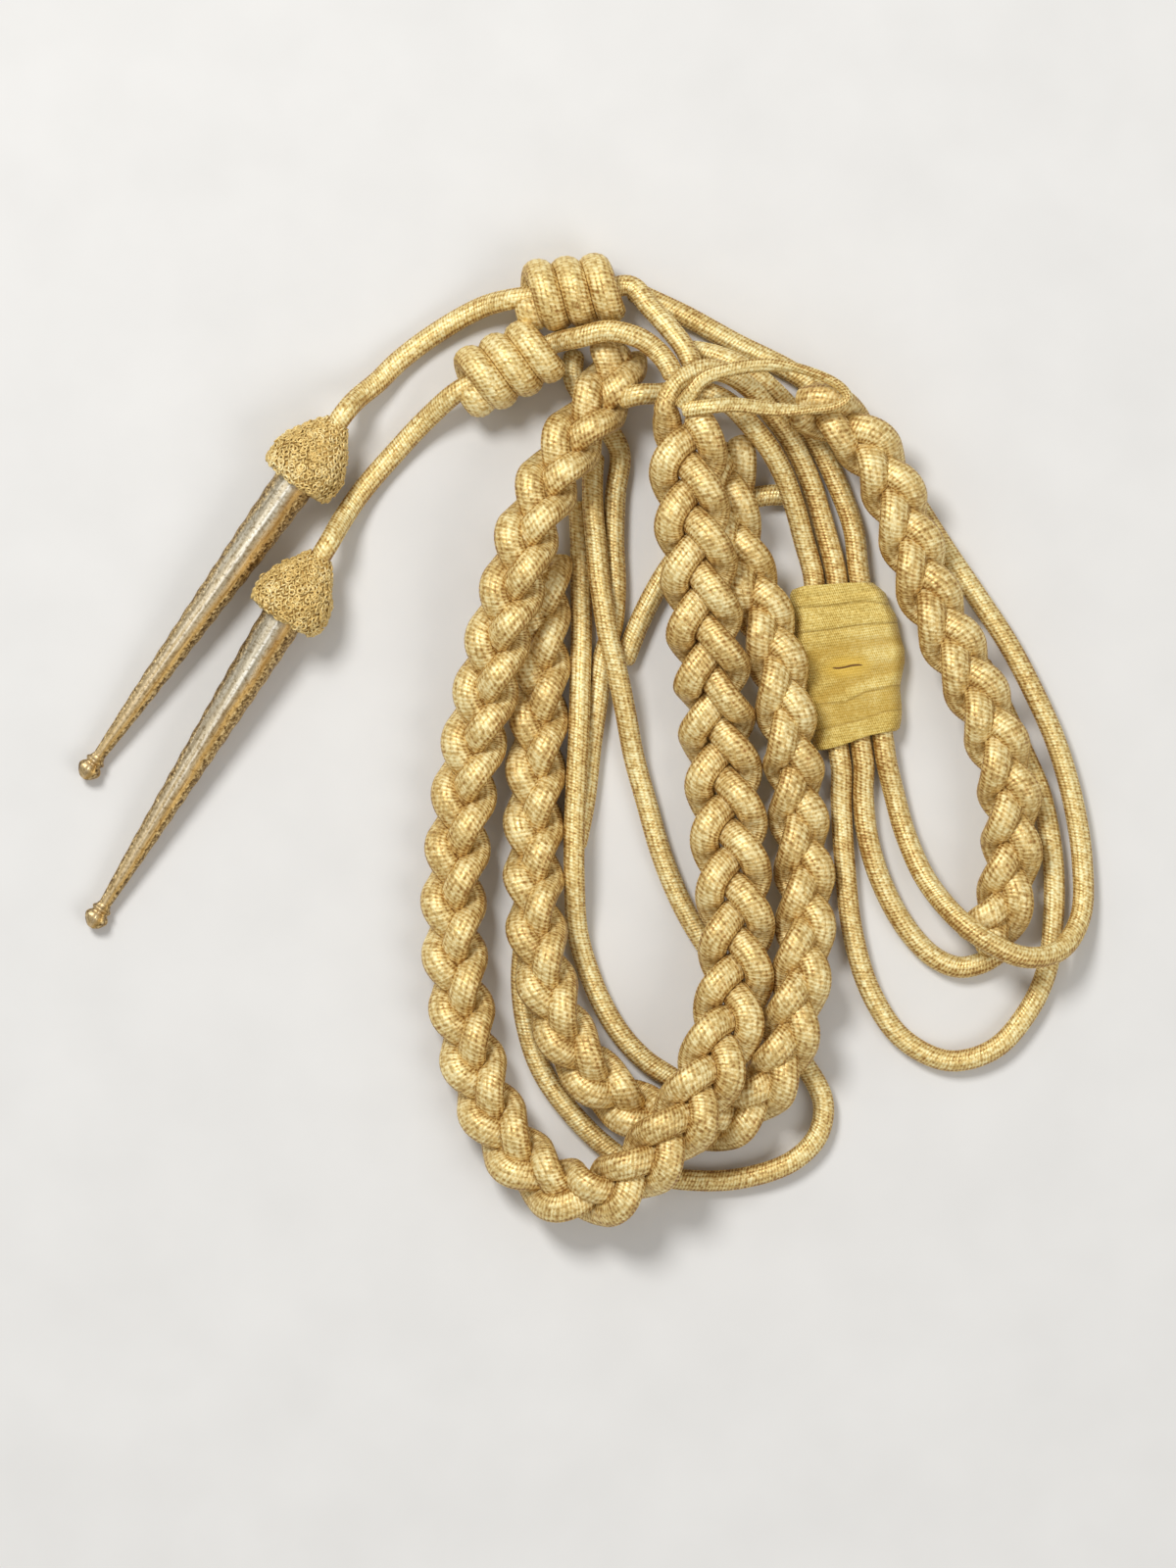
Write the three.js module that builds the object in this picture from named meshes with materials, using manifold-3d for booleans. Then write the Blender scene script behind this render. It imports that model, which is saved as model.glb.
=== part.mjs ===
// An aiguillette: three plaits and several plain cords of gilt braid, two of which end in metal tags.
// It lies flat on a table. Millimetres, +Z up, +Y towards the end that is sewn to the shoulder.
import * as THREE from "three";
import { mergeVertices } from "three/addons/utils/BufferGeometryUtils.js";
import Module from "manifold-3d";

const wasm = await Module();
wasm.setup();

// Driving dimensions
const CORD_DIAMETER = 5.0;
const CORD_SIDES = 8;
const CORD_STEP = 12.5;
const CLEARANCE = 0.3; // between pieces that touch

const STRAND_WIDTH = 5.2;
const STRAND_THICKNESS = 4.3;
const STRAND_SIDES = 6;
const STRAND_RISE = 4.3; // how far a strand's middle comes up from the middle of the plait
const STRAND_DIVE = 0.7; // under 1 a strand stays up longer and dives faster
const PLAIT_STRANDS = 3;
const PLAIT_PITCH = 13.2; // from one lobe on an edge to the next one

const TAG_LENGTH = 84; // from the cap's rim to the finial's neck
const TAG_TOP_RADIUS = 5.2;
const TAG_NECK_RADIUS = 1.45;
const TAG_PLUG = 8.4; // the part of the tag that the cap covers
const TAG_SIDES = 12;
const FINIAL_LENGTH = 6;
const FINIAL_RADIUS = 2.9;

const CAP_LENGTH = 17;
const CAP_RADIUS = 9.8;
const CAP_SIDES = 12;

const KNOT_TURNS = 2.5; // so that three bands show on top
const KNOT_BAND_WIDTH = 6.6;
const KNOT_BAND_THICKNESS = 6;
const KNOT_BAND_SIDES = 8;
const KNOT_STEPS_A_TURN = 8;

const TAB_LENGTH = 39.5;
const TAB_HALF_WIDTH = 13;
const TAB_WALL = 1.1;
const TAB_CORD_GAP = 0.6; // between the cords inside the tab
const BUTTONHOLE_LENGTH = 7.7;
const BUTTONHOLE_WIDTH = 0.7;

const TAPE_WIDTH = 4.2;
const TAPE_THICKNESS = 2.4;
const TAPE_STEPS = 18;

const UP = new THREE.Vector3(0, 0, 1);
const cordRadius = CORD_DIAMETER / 2;

// Materials
const gilt = { color: 0xd9b871, roughness: 0.5, metalness: 0.35 };
const cordMaterial = new THREE.MeshStandardMaterial(gilt);
const plaitMaterial = new THREE.MeshStandardMaterial({ ...gilt, color: 0xcfae6a });
const netMaterial = new THREE.MeshStandardMaterial({ color: 0xc9a24e, roughness: 0.7, metalness: 0.2 });
const tapeMaterial = new THREE.MeshStandardMaterial({ color: 0xd8b653, roughness: 0.55, metalness: 0.3 });
const tagMaterial = new THREE.MeshStandardMaterial({ color: 0xb9a98a, roughness: 0.3, metalness: 1 });

const model = new THREE.Group();

function addPiece(name, geometry, material) {
  const piece = new THREE.Mesh(geometry, material);
  piece.name = name;
  model.add(piece);
  return piece;
}

// An oval with flat sides, as a section; its first size is the thickness, its second the width.
function ovalSection(thickness, width, sides) {
  const corners = [];
  for (let i = 0; i < sides; i++) {
    const angle = ((i + 0.5) / sides) * 2 * Math.PI;
    const flat = Math.cos(Math.PI / sides);
    corners.push(new THREE.Vector2((Math.cos(angle) / flat) * (thickness / 2), (Math.sin(angle) * width) / 2));
  }
  return new THREE.Shape(corners);
}

// A smooth curve through points chosen by hand.
function routeThrough(points) {
  const route = new THREE.CatmullRomCurve3(
    points.map(([x, y, z]) => new THREE.Vector3(x, y, z)),
    false,
    "centripetal",
  );
  route.arcLengthDivisions = 60 * points.length;
  return route;
}

// A curve that is stepped at chosen stations, and carries a section whose top is given at each of them.
class SteppedCurve extends THREE.Curve {
  constructor(stations, placeAt) {
    super();
    this.stations = stations;
    this.placeAt = placeAt;
  }
  getUtoTmapping(u) {
    return u;
  }
  stationAt(t) {
    const at = Math.min(Math.max(t, 0), 1) * (this.stations.length - 1);
    const before = Math.min(Math.floor(at), this.stations.length - 2);
    return THREE.MathUtils.lerp(this.stations[before], this.stations[before + 1], at - before);
  }
  getPoint(t, target = new THREE.Vector3()) {
    return target.copy(this.placeAt(this.stationAt(t)).point);
  }
  computeFrenetFrames(steps) {
    const frames = { tangents: [], normals: [], binormals: [] };
    for (let i = 0; i <= steps; i++) {
      const tangent = this.getTangent(i / steps);
      const top = this.placeAt(this.stationAt(i / steps)).top;
      const normal = top.clone().addScaledVector(tangent, -top.dot(tangent)).normalize();
      frames.tangents.push(tangent);
      frames.normals.push(normal);
      frames.binormals.push(new THREE.Vector3().crossVectors(tangent, normal));
    }
    return frames;
  }
}

function sweep(section, curve, steps) {
  return new THREE.ExtrudeGeometry(section, { steps, curveSegments: 1, extrudePath: curve });
}

// A column of a table of rows, read at any share of the whole length.
function readTable(rows, share, column) {
  const next = rows.findIndex((row) => row.share >= share);
  if (next <= 0) return rows[next === 0 ? 0 : rows.length - 1][column];
  const before = rows[next - 1];
  const after = rows[next];
  const part = (share - before.share) / (after.share - before.share);
  return THREE.MathUtils.lerp(before[column], after[column], THREE.MathUtils.smoothstep(part, 0, 1));
}

// Plaits

// Each strand of a plait swings from edge to edge, and rises and sinks twice as often. It comes up round
// an edge and dives at the middle. The lean turns the plait's face towards its right-hand side.
// Spread is how far a strand's middle swings to each side. Start turn is where strand 1 begins its swing.
function plaitPlace(plait, phase, distance) {
  const share = distance / plait.length;
  const middle = plait.route.getPointAt(share);
  const along = plait.route.getTangentAt(share);
  const level = new THREE.Vector3().crossVectors(along, UP).normalize();
  const upright = new THREE.Vector3().crossVectors(level, along).normalize();
  const lean = THREE.MathUtils.degToRad(readTable(plait.form, share, "lean"));
  const side = level.clone().multiplyScalar(Math.cos(lean)).addScaledVector(upright, -Math.sin(lean));
  const face = upright.clone().multiplyScalar(Math.cos(lean)).addScaledVector(level, Math.sin(lean));
  const turn = (2 * Math.PI * distance) / (PLAIT_STRANDS * PLAIT_PITCH) + phase;
  const spread = readTable(plait.form, share, "spread");
  const wave = -Math.sin(2 * turn);
  const rise = STRAND_RISE * Math.sign(wave) * Math.abs(wave) ** STRAND_DIVE;
  const point = middle.clone().addScaledVector(side, spread * Math.sin(turn)).addScaledVector(face, rise);
  return { point, top: face };
}

// The turns at which a strand is stepped: round the edges, and where it crosses the others.
const STEP_TURNS = [25, 70, 110, 155, 205, 250, 290, 335].map(THREE.MathUtils.degToRad);

function strandStations(plait, phase) {
  const wave = PLAIT_STRANDS * PLAIT_PITCH;
  const stations = [0];
  for (let period = -1; period * wave < plait.length + wave; period++) {
    for (const turn of STEP_TURNS) {
      const distance = (period + (turn - phase) / (2 * Math.PI)) * wave;
      const room = wave / 30;
      if (distance > room && distance < plait.length - room) stations.push(distance);
    }
  }
  stations.push(plait.length);
  return stations;
}

function addPlait(name, plait) {
  plait.route = routeThrough(plait.points);
  plait.length = plait.route.getLength();
  const section = ovalSection(STRAND_THICKNESS, STRAND_WIDTH, STRAND_SIDES);
  for (let i = 0; i < PLAIT_STRANDS; i++) {
    const phase = (i * 2 * Math.PI) / PLAIT_STRANDS + THREE.MathUtils.degToRad(plait.startTurn);
    const stations = strandStations(plait, phase);
    const curve = new SteppedCurve(stations, (distance) => plaitPlace(plait, phase, distance));
    addPiece(name + "_strand_" + (i + 1), sweep(section, curve, stations.length - 1), plaitMaterial);
  }
}

// The main plait goes down the left leg, round the bottom and up the middle leg.
addPlait("main_plait", {
  startTurn: -16,
  points: [
    [7.8, 97.6, 6.9], [6.8, 93, 7.8], [4.4, 86.4, 10.8], [-1, 78.4, 13.8], [-8.2, 66.7, 16.6],
    [-15, 50.4, 20], [-17.8, 40, 19.8], [-20.6, 31.2, 18.2], [-24.1, 16.8, 14.8], [-27.2, 3.9, 11],
    [-29.8, -8.3, 8.6],
    [-31.7, -22.7, 7.8], [-32.9, -37, 7.8], [-32.8, -50, 7.8], [-31, -64.6, 7.8], [-27.8, -79, 7.8],
    [-22.8, -91.6, 8.4], [-15.4, -102.4, 9.6], [-6.4, -109, 12], [3.6, -109.6, 15.4], [13.2, -103, 18.4],
    [21.6, -93.6, 19.8], [28, -83.4, 19], [32.6, -72.6, 16.8], [35.5, -61.7, 13.6], [36.4, -50, 12.6],
    [35.8, -37, 12.4], [34.6, -22.8, 10.6], [33.4, -10, 8.8], [31.9, 2.4, 9.4], [30.3, 16.8, 15.8],
    [28, 32, 19.8], [26.4, 48.2, 22], [24.8, 59.8, 22], [24.4, 70, 21.8], [25, 80.4, 20.4],
  ],
  form: [
    { share: 0, lean: 0, spread: 5.2 },
    { share: 0.07, lean: 15, spread: 5.4 },
    { share: 0.2, lean: 25, spread: 5.4 },
    { share: 0.4, lean: 25, spread: 5.4 },
    { share: 0.52, lean: 12, spread: 5.8 },
    { share: 0.6, lean: 8, spread: 6.2 },
    { share: 0.7, lean: -2, spread: 7 },
    { share: 0.8, lean: -14, spread: 7.2 },
    { share: 1, lean: -10, spread: 7 },
  ],
});

// The inner plait goes down beside the left leg, under the main plait and up on the right of the middle leg.
addPlait("inner_plait", {
  startTurn: 0,
  points: [
    [-10.8, 46.5, 6.9], [-11.4, 37, 7], [-11.7, 26.4, 7.2], [-11.8, 14.4, 7.4], [-12.4, 1, 7.4],
    [-13.1, -12, 7.4], [-13.4, -28, 8.6], [-12.7, -44.2, 12.4], [-10.6, -56.2, 13], [-6.7, -68.4, 12.8],
    [-0.7, -78.6, 10.4], [6.7, -86, 7.2], [15.6, -91.6, 6.4], [26, -94.2, 6.2], [34.8, -91.6, 7],
    [42.4, -85.4, 9.8], [47.6, -77, 12.8], [50.2, -67, 13.4], [52.2, -56.2, 13], [53.2, -44.2, 9.8],
    [53, -31, 7.6], [51.6, -18, 7.4], [50.8, -8.4, 8.4], [49.1, 2.4, 12], [47, 16.8, 12.4],
    [43.2, 31, 11.2], [38.6, 43, 11], [35.2, 54, 11.8], [34, 66, 10], [34.6, 74, 7],
  ],
  form: [
    { share: 0, lean: 4, spread: 4.6 },
    { share: 0.08, lean: 18, spread: 4.7 },
    { share: 0.3, lean: 20, spread: 4.7 },
    { share: 0.44, lean: 6, spread: 4.8 },
    { share: 0.54, lean: 6, spread: 4.8 },
    { share: 0.66, lean: 20, spread: 4.7 },
    { share: 0.85, lean: 14, spread: 4.7 },
    { share: 0.92, lean: 0, spread: 4.7 },
    { share: 1, lean: 0, spread: 4.7 },
  ],
});

// The side plait goes up on the right, from the middle loop's end to the top.
addPlait("side_plait", {
  startTurn: 0,
  points: [
    [96, -49.5, 6.4], [101.5, -40.5, 7.2], [103.7, -27.6, 8.4], [103, -11.3, 11.6], [98.6, 4.8, 13],
    [91, 21.1, 13], [83.2, 37.4, 12.8], [77.6, 53.8, 12.4], [72.2, 67.2, 13], [66.5, 75, 13.2],
    [58.8, 80.8, 13.2], [52, 84.2, 13.2],
  ],
  form: [
    { share: 0, lean: 0, spread: 4.8 },
    { share: 0.3, lean: 16, spread: 5.1 },
    { share: 0.8, lean: 16, spread: 5.1 },
    { share: 1, lean: 0, spread: 4.8 },
  ],
});

// Tags, caps and knots

// Each tag lies with its cap and its finial on the table. Heading is the way from its finial to its cap.
const TAGS = [
  { name: "a", x: -71.6, y: 64.6, heading: 54.2 },
  { name: "b", x: -74.7, y: 31.3, heading: 58 },
];

// Along a tag: zero is the cap's rim, plus is into the cap, minus is towards the finial.
function tagProfile() {
  const neck = -TAG_LENGTH;
  const share = (part) => THREE.MathUtils.lerp(TAG_NECK_RADIUS, TAG_TOP_RADIUS, part);
  return [
    new THREE.Vector2(0, neck - FINIAL_LENGTH),
    new THREE.Vector2(FINIAL_RADIUS * 0.5, neck - FINIAL_LENGTH * 0.88),
    new THREE.Vector2(FINIAL_RADIUS, neck - FINIAL_LENGTH * 0.52),
    new THREE.Vector2(FINIAL_RADIUS * 0.72, neck - FINIAL_LENGTH * 0.3),
    new THREE.Vector2(FINIAL_RADIUS * 0.9, neck - FINIAL_LENGTH * 0.12),
    new THREE.Vector2(TAG_NECK_RADIUS, neck),
    new THREE.Vector2(share(0.66), -TAG_LENGTH * 0.45),
    new THREE.Vector2(share(0.93), -TAG_LENGTH * 0.12),
    new THREE.Vector2(TAG_TOP_RADIUS, 0),
    new THREE.Vector2(TAG_TOP_RADIUS, TAG_PLUG - 1),
    new THREE.Vector2(TAG_TOP_RADIUS - 1, TAG_PLUG),
    new THREE.Vector2(0, TAG_PLUG),
  ];
}

// The cap is a padded bell with a socket for the tag's top and a hole for the cord.
const CAP_OUTLINE = [
  { radius: 0.85, height: 0 },
  { radius: 0.97, height: 0.1 },
  { radius: 1, height: 0.3 },
  { radius: 0.93, height: 0.49 },
  { radius: 0.76, height: 0.68 },
  { radius: 0.54, height: 0.85 },
];

function capProfile() {
  const socket = TAG_TOP_RADIUS + CLEARANCE;
  const hole = cordRadius + CLEARANCE;
  const floor = TAG_PLUG + CLEARANCE;
  const outside = CAP_OUTLINE.map((row) => new THREE.Vector2(row.radius * CAP_RADIUS, row.height * CAP_LENGTH));
  return [
    new THREE.Vector2(socket, 0),
    ...outside,
    new THREE.Vector2(hole + 0.8, CAP_LENGTH),
    new THREE.Vector2(hole, CAP_LENGTH),
    new THREE.Vector2(hole, floor),
    new THREE.Vector2(socket, floor),
    new THREE.Vector2(socket, 0),
  ];
}

// How steeply a tag lies, because its cap is thicker than its finial.
const tagRise = Math.asin((CAP_RADIUS - FINIAL_RADIUS) / (TAG_LENGTH + FINIAL_LENGTH / 2 + CAP_LENGTH * 0.3));

// The tag's own frame: its axis is local Y and its rim the origin.
function placeTag(piece, tag) {
  const heading = THREE.MathUtils.degToRad(tag.heading);
  const flat = new THREE.Vector3(Math.cos(heading), Math.sin(heading), 0);
  const axis = flat.clone().multiplyScalar(Math.cos(tagRise)).addScaledVector(UP, Math.sin(tagRise));
  const right = new THREE.Vector3().crossVectors(axis, UP).normalize();
  const top = new THREE.Vector3().crossVectors(right, axis);
  piece.setRotationFromMatrix(new THREE.Matrix4().makeBasis(right, axis, top));
  piece.position.copy(tagPoint(tag, 0));
}

// A point on a tag's axis, at a distance from the cap's rim.
function tagPoint(tag, distance) {
  const heading = THREE.MathUtils.degToRad(tag.heading);
  const widest = CAP_LENGTH * 0.3;
  const height = CAP_RADIUS * Math.cos(tagRise) + 0.05 + Math.sin(tagRise) * (distance - widest);
  const reach = Math.cos(tagRise) * distance;
  return new THREE.Vector3(tag.x + Math.cos(heading) * reach, tag.y + Math.sin(heading) * reach, height);
}

for (const tag of TAGS) {
  const body = new THREE.LatheGeometry(tagProfile(), TAG_SIDES);
  placeTag(addPiece("tag_" + tag.name, body, tagMaterial), tag);
  const cap = new THREE.LatheGeometry(capProfile(), CAP_SIDES);
  placeTag(addPiece("cap_" + tag.name, cap, netMaterial), tag);
}

// Each knot is a band wound round its tag cord. Heading is the way that the cord goes through it.
const knotPitch = KNOT_BAND_WIDTH + CLEARANCE;
const knotCoilRadius = cordRadius + 2 * CLEARANCE + KNOT_BAND_THICKNESS / 2;
const knotRadius = knotCoilRadius + KNOT_BAND_THICKNESS / 2;
const knotLength = KNOT_TURNS * knotPitch + KNOT_BAND_WIDTH;
const KNOTS = [
  { name: "a", x: -3.2, y: 110.9, heading: 6 },
  { name: "b", x: -18.9, y: 93.1, heading: 26.5 },
];

function knotPoint(knot, distance) {
  const heading = THREE.MathUtils.degToRad(knot.heading);
  const height = knotRadius + 0.05;
  return new THREE.Vector3(knot.x + Math.cos(heading) * distance, knot.y + Math.sin(heading) * distance, height);
}

function addKnot(knot) {
  const heading = THREE.MathUtils.degToRad(knot.heading);
  const left = new THREE.Vector3(-Math.sin(heading), Math.cos(heading), 0);
  const steps = KNOT_TURNS * KNOT_STEPS_A_TURN;
  const stations = Array.from({ length: steps + 1 }, (_, i) => (i / KNOT_STEPS_A_TURN) * 2 * Math.PI);
  const curve = new SteppedCurve(stations, (turned) => {
    const outward = left.clone().multiplyScalar(Math.cos(turned)).addScaledVector(UP, Math.sin(turned));
    const along = (turned / (2 * Math.PI) - KNOT_TURNS / 2) * knotPitch;
    const point = knotPoint(knot, along).addScaledVector(outward, knotCoilRadius);
    return { point, top: outward };
  });
  const section = ovalSection(KNOT_BAND_THICKNESS, KNOT_BAND_WIDTH, KNOT_BAND_SIDES);
  addPiece("knot_" + knot.name, sweep(section, curve, steps), cordMaterial);
}

KNOTS.forEach(addKnot);

// Button tab

// The tab is a band of tape round three cords. Its length runs up the cords, across is to its right.
const TAB = { x: 63.6, y: 19.2, heading: 98.3 };
const tabCordPitch = CORD_DIAMETER + TAB_CORD_GAP;
const tabMiddle = 0.6; // the middle cord's place across the tab
const tabPassageHeight = CORD_DIAMETER + 2 * CLEARANCE;
const tabHeight = tabPassageHeight + 2 * TAB_WALL;
const tabPassageHalf = tabCordPitch + cordRadius + CLEARANCE;

// Each row is a line across the tab; its sides are shares of the half width and lift is above the flat top.
const TAB_ROWS = [
  { share: -0.5, left: -0.76, right: 0.84, lift: -0.4 },
  { share: -0.46, left: -0.8, right: 0.88, lift: 0.2 },
  { share: -0.38, left: -0.88, right: 0.9, lift: 0.1 },
  { share: -0.34, left: -0.9, right: 0.92, lift: 0.6 },
  { share: -0.26, left: -0.93, right: 0.95, lift: 0.05 },
  { share: -0.2, left: -0.93, right: 1.0, lift: 0.5 },
  { share: -0.1, left: -0.92, right: 1.08, lift: 0 },
  { share: 0.22, left: -0.87, right: 1.1, lift: 0 },
  { share: 0.33, left: -0.88, right: 1.07, lift: 0.45 },
  { share: 0.38, left: -0.87, right: 1.04, lift: 0.1 },
  { share: 0.43, left: -0.87, right: 0.98, lift: 0.5 },
  { share: 0.47, left: -0.88, right: 0.9, lift: 0 },
  { share: 0.5, left: -0.88, right: 0.88, lift: -0.5 },
];

// One row's outline in the tab's own frame: across, along, up.
function tabRing(row) {
  const left = row.left * TAB_HALF_WIDTH;
  const right = row.right * TAB_HALF_WIDTH;
  const along = row.share * TAB_LENGTH;
  const edge = tabHeight * 0.42;
  const leftTop = tabMiddle - tabPassageHalf + 0.8;
  const rightTop = tabMiddle + tabPassageHalf - 0.8;
  const outline = [
    [left, edge * 0.4], [left + 0.8, 0], [right - 0.8, 0], [right, edge * 0.4], [right, edge],
    [right - 1, edge + 0.8], [rightTop, tabHeight + row.lift], [leftTop, tabHeight + row.lift],
    [left + 1, edge + 0.8], [left, edge],
  ];
  return outline.map(([across, up]) => new THREE.Vector3(across, along, up));
}

// A closed solid through rings of points, each ring as long as the next.
function loft(rings) {
  const count = rings[0].length;
  const positions = [];
  const index = [];
  for (const ring of rings) for (const p of ring) positions.push(p.x, p.y, p.z);
  for (let r = 0; r + 1 < rings.length; r++) {
    for (let i = 0; i < count; i++) {
      const a = r * count + i;
      const b = r * count + ((i + 1) % count);
      index.push(a, a + count, b, b, a + count, b + count);
    }
  }
  const last = (rings.length - 1) * count;
  for (let i = 1; i + 1 < count; i++) {
    index.push(0, i, i + 1);
    index.push(last, last + i + 1, last + i);
  }
  const geometry = new THREE.BufferGeometry();
  geometry.setAttribute("position", new THREE.Float32BufferAttribute(positions, 3));
  geometry.setIndex(index);
  return geometry;
}

function toSolid(geometry) {
  const bare = geometry.clone();
  bare.deleteAttribute("normal");
  bare.deleteAttribute("uv");
  const merged = mergeVertices(bare, 1e-4);
  const triVerts = new Uint32Array(merged.index.array);
  const vertProperties = new Float32Array(merged.attributes.position.array);
  return new wasm.Manifold(new wasm.Mesh({ numProp: 3, vertProperties, triVerts }));
}

function toGeometry(solid) {
  const mesh = solid.getMesh();
  const geometry = new THREE.BufferGeometry();
  geometry.setAttribute("position", new THREE.Float32BufferAttribute(mesh.vertProperties, 3));
  geometry.setIndex(new THREE.Uint32BufferAttribute(mesh.triVerts, 1));
  geometry.computeVertexNormals();
  return geometry;
}

function addTab() {
  const passage = new THREE.BoxGeometry(2 * tabPassageHalf, TAB_LENGTH + 4, tabPassageHeight);
  passage.translate(tabMiddle, 0, tabHeight / 2);
  const slit = new THREE.BoxGeometry(BUTTONHOLE_LENGTH, BUTTONHOLE_WIDTH, tabHeight);
  slit.translate(tabMiddle, 0.5, tabHeight);
  const band = toSolid(loft(TAB_ROWS.map(tabRing)));
  const cut = band.subtract(toSolid(passage)).subtract(toSolid(slit));
  const piece = addPiece("button_tab", toGeometry(cut), tapeMaterial);
  const heading = THREE.MathUtils.degToRad(TAB.heading);
  const along = new THREE.Vector3(Math.cos(heading), Math.sin(heading), 0);
  const across = new THREE.Vector3().crossVectors(along, UP);
  piece.setRotationFromMatrix(new THREE.Matrix4().makeBasis(across, along, UP));
  piece.position.set(TAB.x, TAB.y, 0);
}

addTab();

// A point of a cord inside the tab; slot is -1, 0 or 1 and along is a share of the tab's length.
function tabPoint(slot, share) {
  const heading = THREE.MathUtils.degToRad(TAB.heading);
  const along = new THREE.Vector3(Math.cos(heading), Math.sin(heading), 0);
  const across = new THREE.Vector3().crossVectors(along, UP);
  const point = new THREE.Vector3(TAB.x, TAB.y, tabHeight / 2);
  point.addScaledVector(along, share * TAB_LENGTH);
  point.addScaledVector(across, tabMiddle + slot * tabCordPitch);
  return point.toArray();
}

// Plain cords

function addCord(name, points) {
  const route = routeThrough(points);
  const steps = Math.ceil(route.getLength() / CORD_STEP);
  addPiece(name, sweep(ovalSection(CORD_DIAMETER * 0.98, CORD_DIAMETER, CORD_SIDES), route, steps), cordMaterial);
}

const capFloor = TAG_PLUG + 2 * CLEARANCE;
const tagEnd = (tag, distance) => tagPoint(tag, distance).toArray();
const knotEnd = (knot, distance) => knotPoint(knot, distance).toArray();
const [tagA, tagB] = TAGS;
const [knotA, knotB] = KNOTS;

addCord("tag_cord_a", [
  tagEnd(tagA, capFloor), tagEnd(tagA, CAP_LENGTH), tagEnd(tagA, CAP_LENGTH + 4), [-56.5, 85, 6.6],
  [-51.8, 89, 4],
  [-46, 94.7, 2.8], [-36, 102, 2.8], [-25.5, 107.6, 5], knotEnd(knotA, -knotLength * 0.6), knotEnd(knotA, -knotLength * 0.3),
  knotEnd(knotA, knotLength * 0.3), knotEnd(knotA, knotLength * 0.58), [15, 107.4, 10.4],
  [19.8, 102, 12.6], [23.6, 97, 14.4], [26, 92, 15.3],
]);

addCord("tag_cord_b", [
  tagEnd(tagB, capFloor), tagEnd(tagB, CAP_LENGTH), tagEnd(tagB, CAP_LENGTH + 4), [-59.5, 56.5, 5.4],
  [-54.6, 63.5, 3],
  [-47.3, 71.9, 2.6], [-40, 79.6, 4.4], knotEnd(knotB, -knotLength * 0.6), knotEnd(knotB, -knotLength * 0.3),
  knotEnd(knotB, knotLength * 0.3), knotEnd(knotB, knotLength * 0.5), [-1.6, 99.7, 14.8],
  [5, 101.1, 16.8], [12.2, 99.4, 16.8], [16.4, 96.6, 15.8], [19.2, 93.4, 16.2], [20.4, 91.3, 16.5],
]);

addCord("outer_loop", [
  [9.8, 112, 2.6], [16.4, 109, 2.6], [24, 105.4, 2.6], [36, 98.8, 2.6], [50.6, 91.4, 2.6],
  [60, 84.4, 2.6], [67.6, 77, 2.6], [74.4, 69, 2.6], [80.5, 59.5, 2.6], [87.4, 48.6, 2.6],
  [95.4, 36.8, 2.6], [103.4, 24.6, 2.6], [109.8, 12.4, 2.6], [115, 0.6, 2.6], [119, -13, 2.6],
  [121.4, -28.1, 2.6], [121, -42, 4], [115.4, -50.4, 10], [106, -51.8, 15.2], [94, -45.6, 15.6],
  [83.5, -34, 7.4], [78, -22, 3.2], [75.2, -12, 2.8], tabPoint(1, -0.62), tabPoint(1, -0.5),
  tabPoint(1, 0.5), tabPoint(1, 0.62), [65.2, 53, 3.2], [60.8, 65, 3], [55.4, 75.4, 3.6],
  [48.6, 83.6, 5.8], [41.8, 89.8, 9.4], [36.8, 93, 10.4], [32.4, 95, 9.6], [28, 96.2, 7.6], [24.4, 96.8, 6],
]);

addCord("middle_loop", [
  [18.7, 82.2, 23.4], [19.7, 85, 23.2], [21.8, 87.8, 22.4], [24.8, 90.1, 21.2], [28.4, 91.4, 20],
  [33.5, 90.8, 18.2], [39.5, 87.2, 15],
  [44.6, 81.4, 11], [49.6, 74.6, 7.4], [54.2, 65.6, 4.6], [57.6, 55, 3.6], tabPoint(0, 0.62),
  tabPoint(0, 0.5), tabPoint(0, -0.5), tabPoint(0, -0.62), [67.6, -12, 2.6], [68.6, -22, 2.6],
  [71.8, -33, 2.6], [77.8, -44.4, 2.6], [84.8, -52, 2.6], [91, -54.6, 2.6], [96.6, -53.6, 2.6],
]);

addCord("lower_loop", [
  [12.8, 85.6, 15.4], [17, 85.8, 13.8], [22, 86.3, 13.2], [29.3, 86, 14.4], [35, 83, 15.6], [39.4, 78.4, 15.8],
  [43.8, 73.2, 14], [47.6, 66.6, 10.6], [50.6, 58.6, 7.9], [53, 50, 5], tabPoint(-1, 0.62),
  tabPoint(-1, 0.5), tabPoint(-1, -0.5), tabPoint(-1, -0.62), [62.2, -14, 2.6], [63, -28, 2.6],
  [65, -46, 2.6], [69.6, -61, 2.6], [77.4, -72.2, 2.6], [88.6, -77.6, 2.6], [99.6, -74.8, 2.6],
  [108, -65.6, 2.6], [112.8, -55, 2.6], [114.4, -42, 2.6], [114.2, -28, 2.6], [111.2, -12, 2.6],
  [106.6, -1, 2.6], [101, 11, 2.6], [96, 21, 2.6],
]);

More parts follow.
